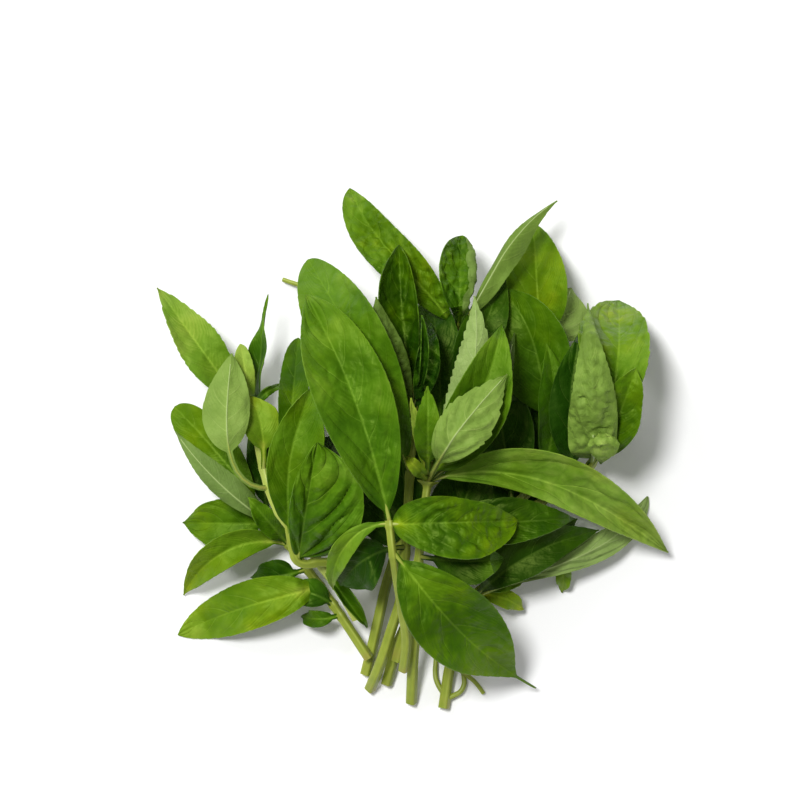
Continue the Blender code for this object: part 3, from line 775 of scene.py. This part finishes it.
def relief(leaf, length, blade, across, points, seed):
    """How far each point of the blade stands out: folds, slow rises, puckers, and the rib's groove."""
    sizes = bpy.context.scene.basil_sizes
    x, y = points[..., 0], points[..., 1]
    side = np.abs(across)[None, :]
    half = half_width(leaf, blade)[:, None]
    reach = half * (1.0 + skewed(leaf, blade, across))
    raised = pillows(leaf, length, blade, across, points, seed)
    uneven = ripples(x / RISE_PITCH, y / RISE_PITCH, seed)
    puckers = ripples(x / PUCKER_PITCH, y / PUCKER_PITCH, seed + 4.0)
    raised = raised + sizes.unevenness * (0.8 * uneven + (0.08 + 0.2 * leaf.crinkle) * puckers)
    x, y = across[None, :] * reach / BLISTER_WIDTH, blade[:, None] * length / BLISTER_LENGTH
    blisters = 0.6 - np.abs(ripples(x, y, seed + 2.0)) * 1.6
    raised = raised - max(0.0, leaf.crinkle - 0.4) * 0.7 * blisters
    inner = smooth_step((1.0 - side) / 0.35) * smooth_step(blade / 0.1)[:, None]
    inner = inner * smooth_step((1.0 - blade) / 0.15)[:, None]
    room = np.minimum(1.0, reach / 9.0)
    rib = np.exp(-((side * half / RIB_REACH) ** 2))
    groove = sizes.rib_depth * rib * smooth_step(blade / 0.05)[:, None] * room
    return raised * inner * room - groove


def toothed(leaf, length, blade, points, seed):
    """Moves both margins, and less so what is next to them, out and in for the teeth."""
    count = max(6.0, (length - leaf.stalk) / TOOTH_PITCH)
    depth = bpy.context.scene.basil_sizes.teeth * leaf.teeth
    there = smooth_step((blade - TEETH_FROM) / 0.2) * smooth_step((TEETH_TO - blade) / 0.1)
    for edge, inward in ((0, 3), (-1, -4)):
        saw = (blade * count + 0.7 * np.sin(blade * 9.0 + seed + edge)) % 1.0
        bite = depth * (saw**0.6 - 0.5) * there
        out = unit(points[:, edge] - points[:, inward])
        for step, share in enumerate((1.0, 0.6, 0.25)):
            place = edge + step if edge == 0 else edge - step
            points[:, place] += out * (share * bite)[:, None]
    return points


def detailed(leaf, length, blade, across, points):
    """The blade with its relief, its teeth and its curl."""
    seed = 0.37 * leaf.width + 0.11 * leaf.tip[0]
    raised = relief(leaf, length, blade, across, points, seed)
    normal = unit(np.cross(np.gradient(points, axis=1), np.gradient(points, axis=0)))
    points = toothed(leaf, length, blade, points + raised[..., None] * normal, seed)
    return curled_over(leaf, points, across)


def rested(points, clearance):
    """The points eased up where they would sink below the table, with no crease there."""
    over = points[..., 2] - clearance
    points[..., 2] = clearance + 0.5 * (over + np.sqrt(over**2 + TABLE_EASING))
    return points


def fine_surface(leaf, laid, along, across):
    """The blade's middle surface where it lies, with its lift smoothed between the laid steps."""
    line, length, lift = laid
    points = blade_points(leaf, line, length, along, across)
    window = np.linspace(-0.03, 0.03, 7)
    near = [spread(lift, np.clip(along + shift, 0.0, 1.0)) for shift in window]
    lifts = np.maximum(np.mean(near, axis=0), spread(lift, along) - 0.15)
    points[..., 2] += lifts[:, None]
    return points


def add_leaf(index, leaf, laid):
    """One leaf: a fine grid on the laid surface, veined and toothed, made thick, and its rib."""
    length = laid[1]
    rows = int(np.clip(round(length / ROW_STEP), *ROW_COUNTS))
    columns = 2 * int(np.clip(round(leaf.width / COLUMN_STEP / 2), *HALF_COLUMN_COUNTS))
    thing, row, column = add_grid(f"leaf_{index}", columns, rows)
    stalk_share = leaf.stalk / length
    share = even_shares(rows + 1)
    blade = np.clip((share - STALK_ROWS) / (1.0 - STALK_ROWS), 0.0, 1.0)
    stalk = np.clip(share / STALK_ROWS, 0.0, 1.0)
    along = stalk_share * stalk + (1.0 - stalk_share) * blade
    across = np.linspace(-1.0, 1.0, columns + 1)
    points = fine_surface(leaf, laid, along, across)
    points = detailed(leaf, length, blade, across, points)
    points = rested(points, bpy.context.scene.basil_sizes.blade / 2)
    set_points(thing, points[row, column])
    half = half_width(leaf, blade)
    broad = 1.0 + skewed(leaf, blade, across)
    set_number(thing, "half_width", (half[:, None] * broad)[row, column])
    set_number(thing, "vein_pairs", vein_pairs(leaf, length))
    set_number(thing, "vein_lean", (vein_lean(leaf, length) * broad)[row, column])
    for look in ("tone", "fresh", "crinkle", "pleat"):
        set_number(thing, look, getattr(leaf, look))
    for slot in ("basil_upper", "basil_under"):
        thing.data.materials.append(bpy.data.materials[slot])
    thick = thing.modifiers.new("thickness", "SOLIDIFY")
    thick.thickness = bpy.context.scene.basil_sizes.blade * METRES
    thick.offset = 0.0
    thick.material_offset = 1
    thick.material_offset_rim = 0
    bpy.ops.object.modifier_apply(modifier=thick.name)
    rib = add_rib(f"rib_{index}", leaf, laid, along, points[:, columns // 2])
    return [thing, rib]


def add_rib(name, leaf, laid, along, middle):
    """The stalk, and the rib that it runs on into, sunk out of sight under the blade's middle."""
    kept = along < (RIB_END if leaf.crinkle < 1.3 else CRUMPLED_RIB_END)
    along, line = along[kept], middle[kept]
    smooth = fine_surface(leaf, laid, along, np.array([-0.02, 0.0, 0.02]))
    face = unit(np.cross(smooth[:, 2] - smooth[:, 0], np.gradient(smooth[:, 1], axis=0)))
    size = min(1.0, leaf.width / 14.0) * 0.5 + 0.4
    radii = size * (0.2 + 0.72 * np.exp(-along * 5.5))
    sunk = radii * smooth_step(along / (leaf.stalk / laid[1] + 0.08))
    line = line - face * sunk[:, None]
    line[:, 2] = np.maximum(line[:, 2], radii)
    rib = add_tube(name, line, radii, RIB_SIDES)
    set_number(rib, "tone", 0.25 + 0.6 * leaf.tone)
    set_number(rib, "under", float(leaf.underside))
    return rib


def add_tube(name, line, radii, sides, ridge=0.0):
    """A closed tube along the line: a grid rolled up round it, with its ends drawn in to a point."""
    rings = len(line) + 1
    thing, row, column = add_grid(name, sides, rings)
    forward = unit(np.gradient(line, axis=0))
    level = unit(np.cross(forward, [0.0, 0.0, 1.0]))
    upward = np.cross(level, forward)
    turn = 2 * math.pi * np.arange(sides + 1) / sides
    turn[-1] = 0.0
    shape = 1.0 + ridge * (np.abs(np.cos(2 * turn + 0.6)) ** 3 - 0.35)
    out = level[:, None] * np.cos(turn)[:, None] + upward[:, None] * np.sin(turn)[:, None]
    points = line[:, None] + out * (radii[:, None] * shape)[..., None]
    ends = [np.repeat(line[place][None, None], sides + 1, axis=1) for place in (0, -1)]
    points = np.concatenate([ends[0], points, ends[1]])
    set_points(thing, points[row, column])
    set_number(thing, "cut", row == 0)
    bpy.ops.object.mode_set(mode="EDIT")
    bpy.ops.mesh.select_all(action="SELECT")
    bpy.ops.mesh.remove_doubles(threshold=1e-6)
    bpy.ops.mesh.normals_make_consistent(inside=False)
    bpy.ops.object.mode_set(mode="OBJECT")
    thing.data.materials.append(bpy.data.materials["basil_stem"])
    return thing


def join_as(name, things):
    deselect_all()
    for thing in things:
        thing.select_set(True)
    bpy.context.view_layer.objects.active = things[0]
    if len(things) > 1:
        bpy.ops.object.join()
    made = bpy.context.object
    made.name = name
    made.data.name = name
    bpy.ops.object.shade_smooth_by_angle(angle=math.radians(SHARP_EDGE))
    return made


def stem_radii(sprig, radius, count):
    """The stem's radius along it, swollen a little at each leaf joint."""
    share = even_shares(count)
    radii = spread(radius, share)
    for leaf in sprig.leaves:
        radii = radii * (1.0 + JOINT_SWELL * np.exp(-(((share - leaf.at) / JOINT_LENGTH) ** 2)))
    return radii


def add_sprig(name):
    """All the leaves of one leafy stem as a piece, and its stem as another, in the solid's place."""
    sprig, stem, radius, stalks, leaves = laid_bunch()[name]
    blades = []
    for index, (leaf, laid) in enumerate(leaves):
        blades += add_leaf(index, leaf, laid)
    short = name.removeprefix("sprig_")
    foliage = join_as("leaves_" + short, blades)
    line = through(stem[::4], STEM_RINGS)
    radii = stem_radii(sprig, radius, STEM_RINGS)
    line[:, 2] = np.maximum(line[:, 2], radii * 1.02)
    parts = [add_tube("stalk_main", line, radii, STEM_SIDES, ridge=RIDGE)]
    for index, (route, thickness) in enumerate(stalks):
        line = through(route, STALK_RINGS)
        widths = spread(thickness, even_shares(STALK_RINGS))
        line[:, 2] = np.maximum(line[:, 2], widths * 1.05)
        parts.append(add_tube(f"stalk_{index}", line, widths, STALK_SIDES))
    for part in parts:
        set_number(part, "tone", sprig.tone)
    stalk = join_as("stem_" + short, parts)
    for piece in (foliage, stalk):
        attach(piece, "root")
        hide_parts(name)


# Finishes

# How many grains of each pattern there are to a metre, and streaks round and along a stem
FINE_NET = 520.0
DOMES = 190.0
BLOTCHES = 70.0
MOTTLE_ABOVE = 330.0
MOTTLE_BELOW = 420.0
STREAKS_ROUND = 14.0
STREAKS_ALONG = 5.0


def arithmetic(operation, swapped=False):
    """A method that does this sum with a signal and another value, or with the two swapped."""

    def done(self, other):
        return self.math(operation, *((other, self) if swapped else (self, other)))

    return done


class Signal:
    """A number that changes over a surface, written with ordinary arithmetic."""

    def __init__(self, finish, socket):
        self.finish = finish
        self.socket = socket

    def math(self, operation, *values):
        return self.finish.add("Math", dict(enumerate(values)), operation=operation)

    __add__, __radd__ = arithmetic("ADD"), arithmetic("ADD", swapped=True)
    __sub__, __rsub__ = arithmetic("SUBTRACT"), arithmetic("SUBTRACT", swapped=True)
    __mul__, __rmul__ = arithmetic("MULTIPLY"), arithmetic("MULTIPLY", swapped=True)
    __truediv__, __pow__ = arithmetic("DIVIDE"), arithmetic("POWER")

    def __abs__(self):
        return self.math("ABSOLUTE", self)

    def fraction(self):
        return self.math("FRACT", self)

    def between(self, low, high):
        """0 below low, 1 above high, and a smooth step between them."""
        values = {"Value": self, "From Min": low, "From Max": high}
        return self.finish.add("MapRange", values, interpolation_type="SMOOTHSTEP")


class Finish:
    """A material and the nodes behind its Principled shader."""

    def __init__(self, name):
        self.material = bpy.data.materials.new(name)
        self.material.use_nodes = True
        self.tree = self.material.node_tree
        self.shader = self.tree.nodes["Principled BSDF"]

    def add(self, kind, values=None, output=0, **settings):
        """A node of this kind, its settings made first and its sockets then filled or linked."""
        node = self.tree.nodes.new("ShaderNode" + kind)
        for key, value in settings.items():
            setattr(node, key, value)
        for key, value in (values or {}).items():
            self.feed(node.inputs[key], value)
        return Signal(self, node.outputs[output])

    def feed(self, socket, value):
        if isinstance(value, Signal):
            self.tree.links.new(value.socket, socket)
        else:
            socket.default_value = value

    def number(self, name):
        return self.add("Attribute", output=2, attribute_name=name)

    def map_axis(self, axis):
        return self.add("SeparateXYZ", {0: self.add("UVMap", uv_map="UVMap")}, axis)

    def noise(self, per_metre, detail=2.0, roughness=0.5):
        place = self.add("TexCoord", output=3)
        values = {"Vector": place, "Scale": per_metre, "Detail": detail, "Roughness": roughness}
        return self.add("TexNoise", values)

    def cells(self, per_metre):
        """How far each point is from the edge of its cell, in a pattern of uneven cells."""
        values = {"Vector": self.add("TexCoord", output=3), "Scale": per_metre}
        return self.add("TexVoronoi", values, feature="DISTANCE_TO_EDGE")

    def mix(self, factor, first, second):
        return self.add("Mix", {0: factor, 6: first, 7: second}, 2, data_type="RGBA")

    def tint(self, colour, factors, operation="MULTIPLY"):
        return self.add("VectorMath", {0: colour, 1: factors}, operation=operation)

    def ramp(self, place, stops):
        """A colour that changes with the place: stops gives the colour at some of its values."""
        colour = self.add("ValToRGB", {0: place})
        elements = colour.socket.node.color_ramp.elements
        while len(elements) < len(stops):
            elements.new(1.0)
        for element, (position, shade) in zip(elements, stops.items()):
            element.position = position
            element.color = (*shade, 1.0)
        return colour

    def dress(self, colour, roughness, relief, gloss, gloss_tint=(1.0, 1.0, 1.0)):
        """Feeds the shader. The relief gives the bump's strength, distance and height."""
        inputs = self.shader.inputs
        bump = dict(zip(("Strength", "Distance", "Height"), relief))
        self.feed(inputs["Base Color"], colour)
        self.feed(inputs["Roughness"], roughness)
        self.feed(inputs["Normal"], self.add("Bump", bump))
        inputs["Specular IOR Level"].default_value = gloss
        inputs["Specular Tint"].default_value = (*gloss_tint, 1.0)


def leaf_maps(finish):
    """The marks that every blade has: side, place along, rib, side veins, and the fine net."""
    across = finish.map_axis(0) * 2.0 - 1.0
    side = abs(across)
    share = (finish.map_axis(1) - STALK_ROWS) / (1.0 - STALK_ROWS)
    place = side * finish.number("half_width")
    thick = 0.9 - share * 0.6
    crinkle = finish.number("crinkle")
    rib = (1.0 - (place / thick).between(0.2, 0.9)) * (1.0 - share.between(0.3, 1.0) * 0.7)
    rib = rib * (1.0 - crinkle.between(1.0, 1.5))
    climb = finish.number("vein_lean") * (side * 0.6 + side * side * 0.6)
    wander = finish.noise(55.0, 1.0) - 0.5
    turn = across.math("SIGN", across) * 0.25
    phase = finish.number("vein_pairs") * (share - climb) + turn + wander * 0.45
    offset = abs((phase + 0.5).fraction() - 0.5)
    vein = 1.0 - offset.between(0.006, 0.04 - side * 0.022)
    vein = vein * (1.0 - side.between(0.55, 0.98)) * share.between(0.02, 0.06)
    net = 1.0 - finish.cells(FINE_NET).between(0.0, 0.16)
    domes = finish.cells(DOMES) + (finish.noise(260.0, 2.0) - 0.5) * 0.3
    domes = domes.between(-0.05, 0.5)
    folds = (phase * 5.0 + (finish.noise(120.0, 2.0) - 0.5) * 3.0).fraction()
    creases = abs(folds - 0.5) * 2.0 * finish.noise(90.0, 1.0).between(0.4, 0.7)
    pillow = (offset * 2.0) ** 0.6 * side.between(0.02, 0.3) * (1.0 - side.between(0.75, 1.0))
    pillow = pillow * (1.0 - crinkle.between(1.0, 1.5))
    patch = finish.noise(60.0, 1.0).between(0.4, 0.62)
    puckers = abs(finish.noise(130.0, 3.0, 0.55) - 0.5) * 2.0
    height = pillow * (patch * (0.1 + crinkle * 0.3) + finish.number("pleat") * 0.5)
    height = height + puckers * (0.2 + crinkle * 0.35) + domes * crinkle * 0.6 + creases * 0.05
    # shade is painted light and shade over the relief: the tone rises where the creases and domes rise
    # and falls where they sink.
    shade = (creases - 0.3) * 0.1 + (domes - 0.5) * crinkle * 0.2
    return side, share, rib, vein, net, shade, height


def finish_upper(colours):
    """The leaf's upper side: a satin green with paler veins, mottled, yellower by the stalk, with
    painted sheen, light and shade.
    """
    finish = Finish("basil_upper")
    side, share, rib, vein, net, shade, height = leaf_maps(finish)
    broad = finish.noise(BLOTCHES, 2.0)
    # Where this noise is high, fresh leaves turn yellower; where it is low, a painted bluish sheen lies
    # on the green.
    warmth_and_sheen = finish.noise(52.0, 2.0).between(0.35, 0.68)
    mottle = finish.noise(MOTTLE_ABOVE, 3.0, 0.6)
    young = (1.0 - share.between(0.0, 0.28)) * (1.0 - side.between(0.1, 0.8))
    tone, fresh = finish.number("tone"), finish.number("fresh")
    tone = tone + (broad - 0.5) * (1.15 - tone * 0.8) + (mottle - 0.5) * 0.14
    # Lighter towards the tip and darker by the stalk: painted light and shade.
    tone = tone + young * (0.15 + fresh * 0.3) + (share - 0.4) * 0.3 + shade
    stops = {0.0: colours.deep, 0.3: colours.dark, 0.55: colours.green, 0.78: colours.bright}
    colour = finish.ramp(tone, {**stops, 1.0: colours.lime})
    warm = fresh * (0.3 + warmth_and_sheen * 0.9)
    # The painted sheen: a bluish tint in patches, weaker on fresh leaves.
    painted_sheen = (1.0 - warmth_and_sheen) * (0.6 - fresh * 0.4)
    colour = finish.mix(warm, colour, finish.tint(colour, (1.22, 1.04, 0.15)))
    colour = finish.mix(painted_sheen, colour, finish.tint(colour, (0.82, 0.96, 1.5)))
    pale = finish.tint(finish.tint(colour, (1.35, 1.25, 1.4)), (0.03, 0.04, 0.008), "ADD")
    line = rib.math("MAXIMUM", rib * 0.85, vein * (0.6 + finish.number("pleat") * 0.2))
    colour = finish.mix(line, colour, pale)
    colour = finish.mix(net * 0.12, colour, finish.tint(colour, (0.74, 0.8, 0.6)))
    # A painted light rim: the margin is mixed towards the paler green.
    edge = side.between(0.955, 1.0)
    colour = finish.mix(edge * 0.45, colour, pale)
    roughness = 0.46 + (mottle - 0.5) * 0.14 + (broad - 0.5) * 0.14
    height = height + (1.0 - net) * 0.015 + mottle * 0.06 - vein * 0.08
    finish.dress(colour, roughness, (1.0, METRES, height), 0.32, (0.7, 0.95, 0.18))


def finish_under(colours):
    """The leaf's underside: paler and duller, with its rib and veins standing up."""
    finish = Finish("basil_under")
    side, share, rib, vein, net, shade, height = leaf_maps(finish)
    broad = finish.noise(BLOTCHES, 2.0)
    mottle = finish.noise(MOTTLE_BELOW, 3.0, 0.6)
    # shade adds the painted light and shade over the relief.
    tone = finish.number("tone") + (broad - 0.5) * 0.4 + (mottle - 0.5) * 0.12 + shade
    stops = {0.0: colours.under_dark, 0.55: colours.under, 1.0: colours.under_pale}
    colour = finish.ramp(tone, stops)
    line = rib.math("MAXIMUM", rib * 0.8, vein * (0.7 + finish.number("pleat") * 0.2))
    warm = finish.number("fresh") * 0.6
    colour = finish.mix(warm, colour, finish.tint(colour, (0.95, 1.0, 0.35)))
    colour = finish.mix(line, colour, finish.tint(colour, (1.5, 1.36, 1.8)))
    colour = finish.mix(net * 0.2, colour, finish.tint(colour, (0.76, 0.86, 0.6)))
    roughness = 0.62 + (mottle - 0.5) * 0.15
    height = mottle * 0.06 + vein * 0.06 + rib * 0.12 - net * 0.04 - height * 0.6
    finish.dress(colour, roughness, (1.0, METRES, height), 0.22, (0.85, 0.95, 0.6))


def finish_stem(colours):
    """Stems and stalks: yellow-green, streaked along with painted shade and painted highlight lines,
    pale and ringed where they are cut.
    """
    finish = Finish("basil_stem")
    around = finish.map_axis(0)
    along = finish.map_axis(1)
    place = finish.add("CombineXYZ", {0: around * STREAKS_ROUND, 1: along * STREAKS_ALONG})
    streaks_and_shade = finish.add("TexNoise", {"Vector": place, "Scale": 1.0, "Detail": 3.0})
    blotches_and_shade = finish.noise(140.0, 2.0)
    # The streaks and blotches pull the green towards stem_dark, the stem's green in shade: painted
    # shade, in streaks.
    tone = finish.number("tone") + (streaks_and_shade - 0.5) * 0.5 + (blotches_and_shade - 0.5) * 0.5
    stops = {0.0: colours.stem_dark, 0.45: colours.stem, 1.0: colours.stem_pale}
    colour = finish.ramp(tone, stops)
    # Painted highlights: four paler, bluer lines along the stem.
    ridge = (abs((around * 4.0 + 0.19).fraction() - 0.5) * 2.0).between(0.45, 1.0)
    colour = finish.mix(ridge * 0.55, colour, finish.tint(colour, (1.3, 1.22, 1.6)))
    faded = finish.number("under") * along.between(0.1, 0.3)
    colour = finish.mix(faded, colour, finish.tint(colours.under_pale[:], (1.15, 1.1, 1.2)))
    bruise = (1.0 - along.between(0.0, 0.07)) * blotches_and_shade.between(0.35, 0.65)
    colour = finish.mix(bruise * 0.6, colour, (*colours.cut_end, 1.0))
    colour = finish.mix(finish.number("cut").between(0.12, 0.3), colour, (*colours.pith, 1.0))
    roughness = 0.42 + (streaks_and_shade - 0.5) * 0.2
    finish.dress(colour, roughness, (0.3, 0.3 * METRES, streaks_and_shade + blotches_and_shade * 0.5), 0.4)


# The add-on

# The stage, in metres, and the camera's sensor in millimetres
FLOOR_SIZE = 6.0
FLOOR_DROP = 0.0003
LEAF_LEVEL = 0.02
VIEW_MIDDLE = (-4.45 * METRES, 16.95 * METRES)
SENSOR = 36.0


def number_property(name, description, value, **more):
    return bpy.props.FloatProperty(name=name, description=description, default=value, **more)


def colour_property(name, description, value):
    return bpy.props.FloatVectorProperty(
        name=name, description=description, default=value, subtype="COLOR", size=3, min=0.0, max=1.0
    )


class BasilSizes(bpy.types.PropertyGroup):
    """Sizes of the fine forms, in millimetres."""

    blade: number_property("Blade", "Thickness of a blade", 0.36)
    quilting: number_property("Quilting", "Rise of the blade between veins, as a share", 1.0)
    unevenness: number_property("Unevenness", "Slow rise and fall of the blades, as a share", 1.0)
    rib_depth: number_property("Rib depth", "How deep the middle rib lies", 0.3)
    teeth: number_property("Teeth", "Depth of the teeth, as a share of each leaf's own", 1.0)


class BasilColours(bpy.types.PropertyGroup):
    """The greens of leaves and stems."""

    # The deepest green goes on the leaves laid low under the others, where its dark is painted shade.
    deep: colour_property("Deep", "Upper side of the darkest leaves", (0.01, 0.044, 0.001))
    dark: colour_property("Dark", "Upper side of dark leaves", (0.031, 0.094, 0.001))
    green: colour_property("Green", "Upper side of full-grown leaves", (0.07, 0.162, 0.003))
    bright: colour_property("Bright", "Upper side of bright leaves", (0.128, 0.234, 0.012))
    lime: colour_property("Lime", "Upper side of the youngest leaves", (0.24, 0.335, 0.038))
    under_dark: colour_property("Under, dark", "Underside in the dark leaves", (0.05, 0.09, 0.012))
    under: colour_property("Under", "Underside of most leaves", (0.16, 0.255, 0.055))
    under_pale: colour_property("Under, pale", "Underside of the palest", (0.29, 0.4, 0.12))
    stem_dark: colour_property("Stem, dark", "Shaded streaks of a stem", (0.11, 0.16, 0.008))
    stem: colour_property("Stem", "A stem's own green", (0.25, 0.31, 0.03))
    stem_pale: colour_property("Stem, pale", "Young stems and joints", (0.42, 0.5, 0.1))
    cut_end: colour_property("Cut end", "Browned skin by the cut", (0.3, 0.21, 0.06))
    pith: colour_property("Pith", "The pale middle of a cut face", (0.45, 0.46, 0.2))


class BasilStage(bpy.types.PropertyGroup):
    """Camera, floor and lights."""

    distance: number_property("Camera distance", "Height of the camera", 2.6, unit="LENGTH")
    view_width: number_property("View width", "Width seen at the leaves", 0.28, unit="LENGTH")
    key: number_property("Key", "Strength of the main light", 2.5)
    rake: number_property("Rake", "Strength of the low light that brings out the folds", 1.1)
    ambient: number_property("Ambient", "Light from all round", 0.36)
    floor: colour_property("Floor", "Colour of the floor", (0.95, 0.95, 0.95))


def grow(*names):
    """Adds these leafy stems, and tells their operator that all went well."""
    for name in names:
        add_sprig(name)
    return {"FINISHED"}


def add_sun(name, strength, softness, tilt):
    """A sun of this softness, tilted about each axis. Both are in degrees."""
    bpy.ops.object.light_add(type="SUN", location=(-0.5, 0.5, 1.2))
    sun = bpy.context.object
    sun.name = name
    sun.data.energy = strength
    sun.data.angle = math.radians(softness)
    sun.rotation_euler = [math.radians(turn) for turn in tilt]


class BASIL_OT_finishes(bpy.types.Operator):
    """Make the finishes of leaves and stems"""

    bl_idname = "basil.finishes"
    bl_label = "Leaf and stem finishes"

    def execute(self, context):
        colours = context.scene.basil_colours
        finish_upper(colours)
        finish_under(colours)
        finish_stem(colours)
        return {"FINISHED"}


class BASIL_OT_right_sprigs(bpy.types.Operator):
    """Grow the lowest leafy stems, at the right of the bunch"""

    bl_idname = "basil.right_sprigs"
    bl_label = "Stems at the right"

    def execute(self, context):
        return grow("sprig_right_low", "sprig_upper_right", "sprig_right_top")


class BASIL_OT_left_sprigs(bpy.types.Operator):
    """Grow the leafy stems at the left of the bunch"""

    bl_idname = "basil.left_sprigs"
    bl_label = "Stems at the left"

    def execute(self, context):
        return grow("sprig_left_low", "sprig_left_top", "sprig_centre_left")


class BASIL_OT_middle_sprigs(bpy.types.Operator):
    """Grow the leafy stems in the middle of the bunch, under the front one"""

    bl_idname = "basil.middle_sprigs"
    bl_label = "Stems in the middle"

    def execute(self, context):
        return grow("sprig_upper_left", "sprig_centre_back", "sprig_centre_right")


class BASIL_OT_front_sprig(bpy.types.Operator):
    """Grow the leafy stem on top of the bunch, with its largest leaves"""

    bl_idname = "basil.front_sprig"
    bl_label = "Stem on top"

    def execute(self, context):
        return grow("sprig_front")


class BASIL_OT_stage(bpy.types.Operator):
    """Add the floor, the lights and the camera straight above"""

    bl_idname = "basil.stage"
    bl_label = "Stage"

    def execute(self, context):
        stage = context.scene.basil_stage
        deselect_all()
        bpy.ops.mesh.primitive_plane_add(size=FLOOR_SIZE, location=(0.0, 0.0, -FLOOR_DROP))
        floor = context.object
        floor.name = "floor"
        finish = Finish("floor_white")
        finish.shader.inputs["Base Color"].default_value = (*stage.floor, 1.0)
        finish.shader.inputs["Roughness"].default_value = 0.8
        finish.shader.inputs["Specular IOR Level"].default_value = 0.1
        floor.data.materials.append(finish.material)
        add_sun("key_light", stage.key, 14, (-15, -15, 0))
        add_sun("raking_light", stage.rake, 16, (-52, 0, 40))
        world = bpy.data.worlds.new("studio")
        world.use_nodes = True
        backdrop = world.node_tree.nodes["Background"]
        backdrop.inputs["Color"].default_value = (1.0, 1.0, 1.0, 1.0)
        backdrop.inputs["Strength"].default_value = stage.ambient
        context.scene.world = world
        bpy.ops.object.camera_add(location=(*VIEW_MIDDLE, stage.distance + LEAF_LEVEL))
        camera = context.object
        camera.name = "camera_above"
        camera.data.sensor_width = SENSOR
        camera.data.lens = SENSOR * stage.distance / stage.view_width
        camera.data.clip_end = 20.0
        context.scene.camera = camera
        context.scene.view_settings.view_transform = "Standard"
        return {"FINISHED"}


class BASIL_PT_panel(bpy.types.Panel):
    """Lists the sizes, the colours and the steps"""

    bl_label = "Basil bunch"
    bl_idname = "BASIL_PT_panel"
    bl_space_type = "VIEW_3D"
    bl_region_type = "UI"
    bl_category = "Basil"

    def draw(self, context):
        scene = context.scene
        for group in (scene.basil_sizes, scene.basil_colours, scene.basil_stage):
            box = self.layout.box()
            for key in group.__annotations__:
                box.prop(group, key)
        for step in STEPS:
            self.layout.operator(step.bl_idname)


STEPS = (
    BASIL_OT_finishes,
    BASIL_OT_right_sprigs,
    BASIL_OT_left_sprigs,
    BASIL_OT_middle_sprigs,
    BASIL_OT_front_sprig,
    BASIL_OT_stage,
)
CLASSES = (BasilSizes, BasilColours, BasilStage, *STEPS, BASIL_PT_panel)


def register():
    for cls in CLASSES:
        bpy.utils.register_class(cls)
    bpy.types.Scene.basil_sizes = bpy.props.PointerProperty(type=BasilSizes)
    bpy.types.Scene.basil_colours = bpy.props.PointerProperty(type=BasilColours)
    bpy.types.Scene.basil_stage = bpy.props.PointerProperty(type=BasilStage)


def unregister():
    del bpy.types.Scene.basil_stage
    del bpy.types.Scene.basil_colours
    del bpy.types.Scene.basil_sizes
    for cls in reversed(CLASSES):
        bpy.utils.unregister_class(cls)


def main():
    register()
    bpy.ops.basil.finishes()
    bpy.ops.basil.right_sprigs()
    bpy.ops.basil.left_sprigs()
    bpy.ops.basil.middle_sprigs()
    bpy.ops.basil.front_sprig()
    bpy.ops.basil.stage()


if __name__ == "__main__":
    main()
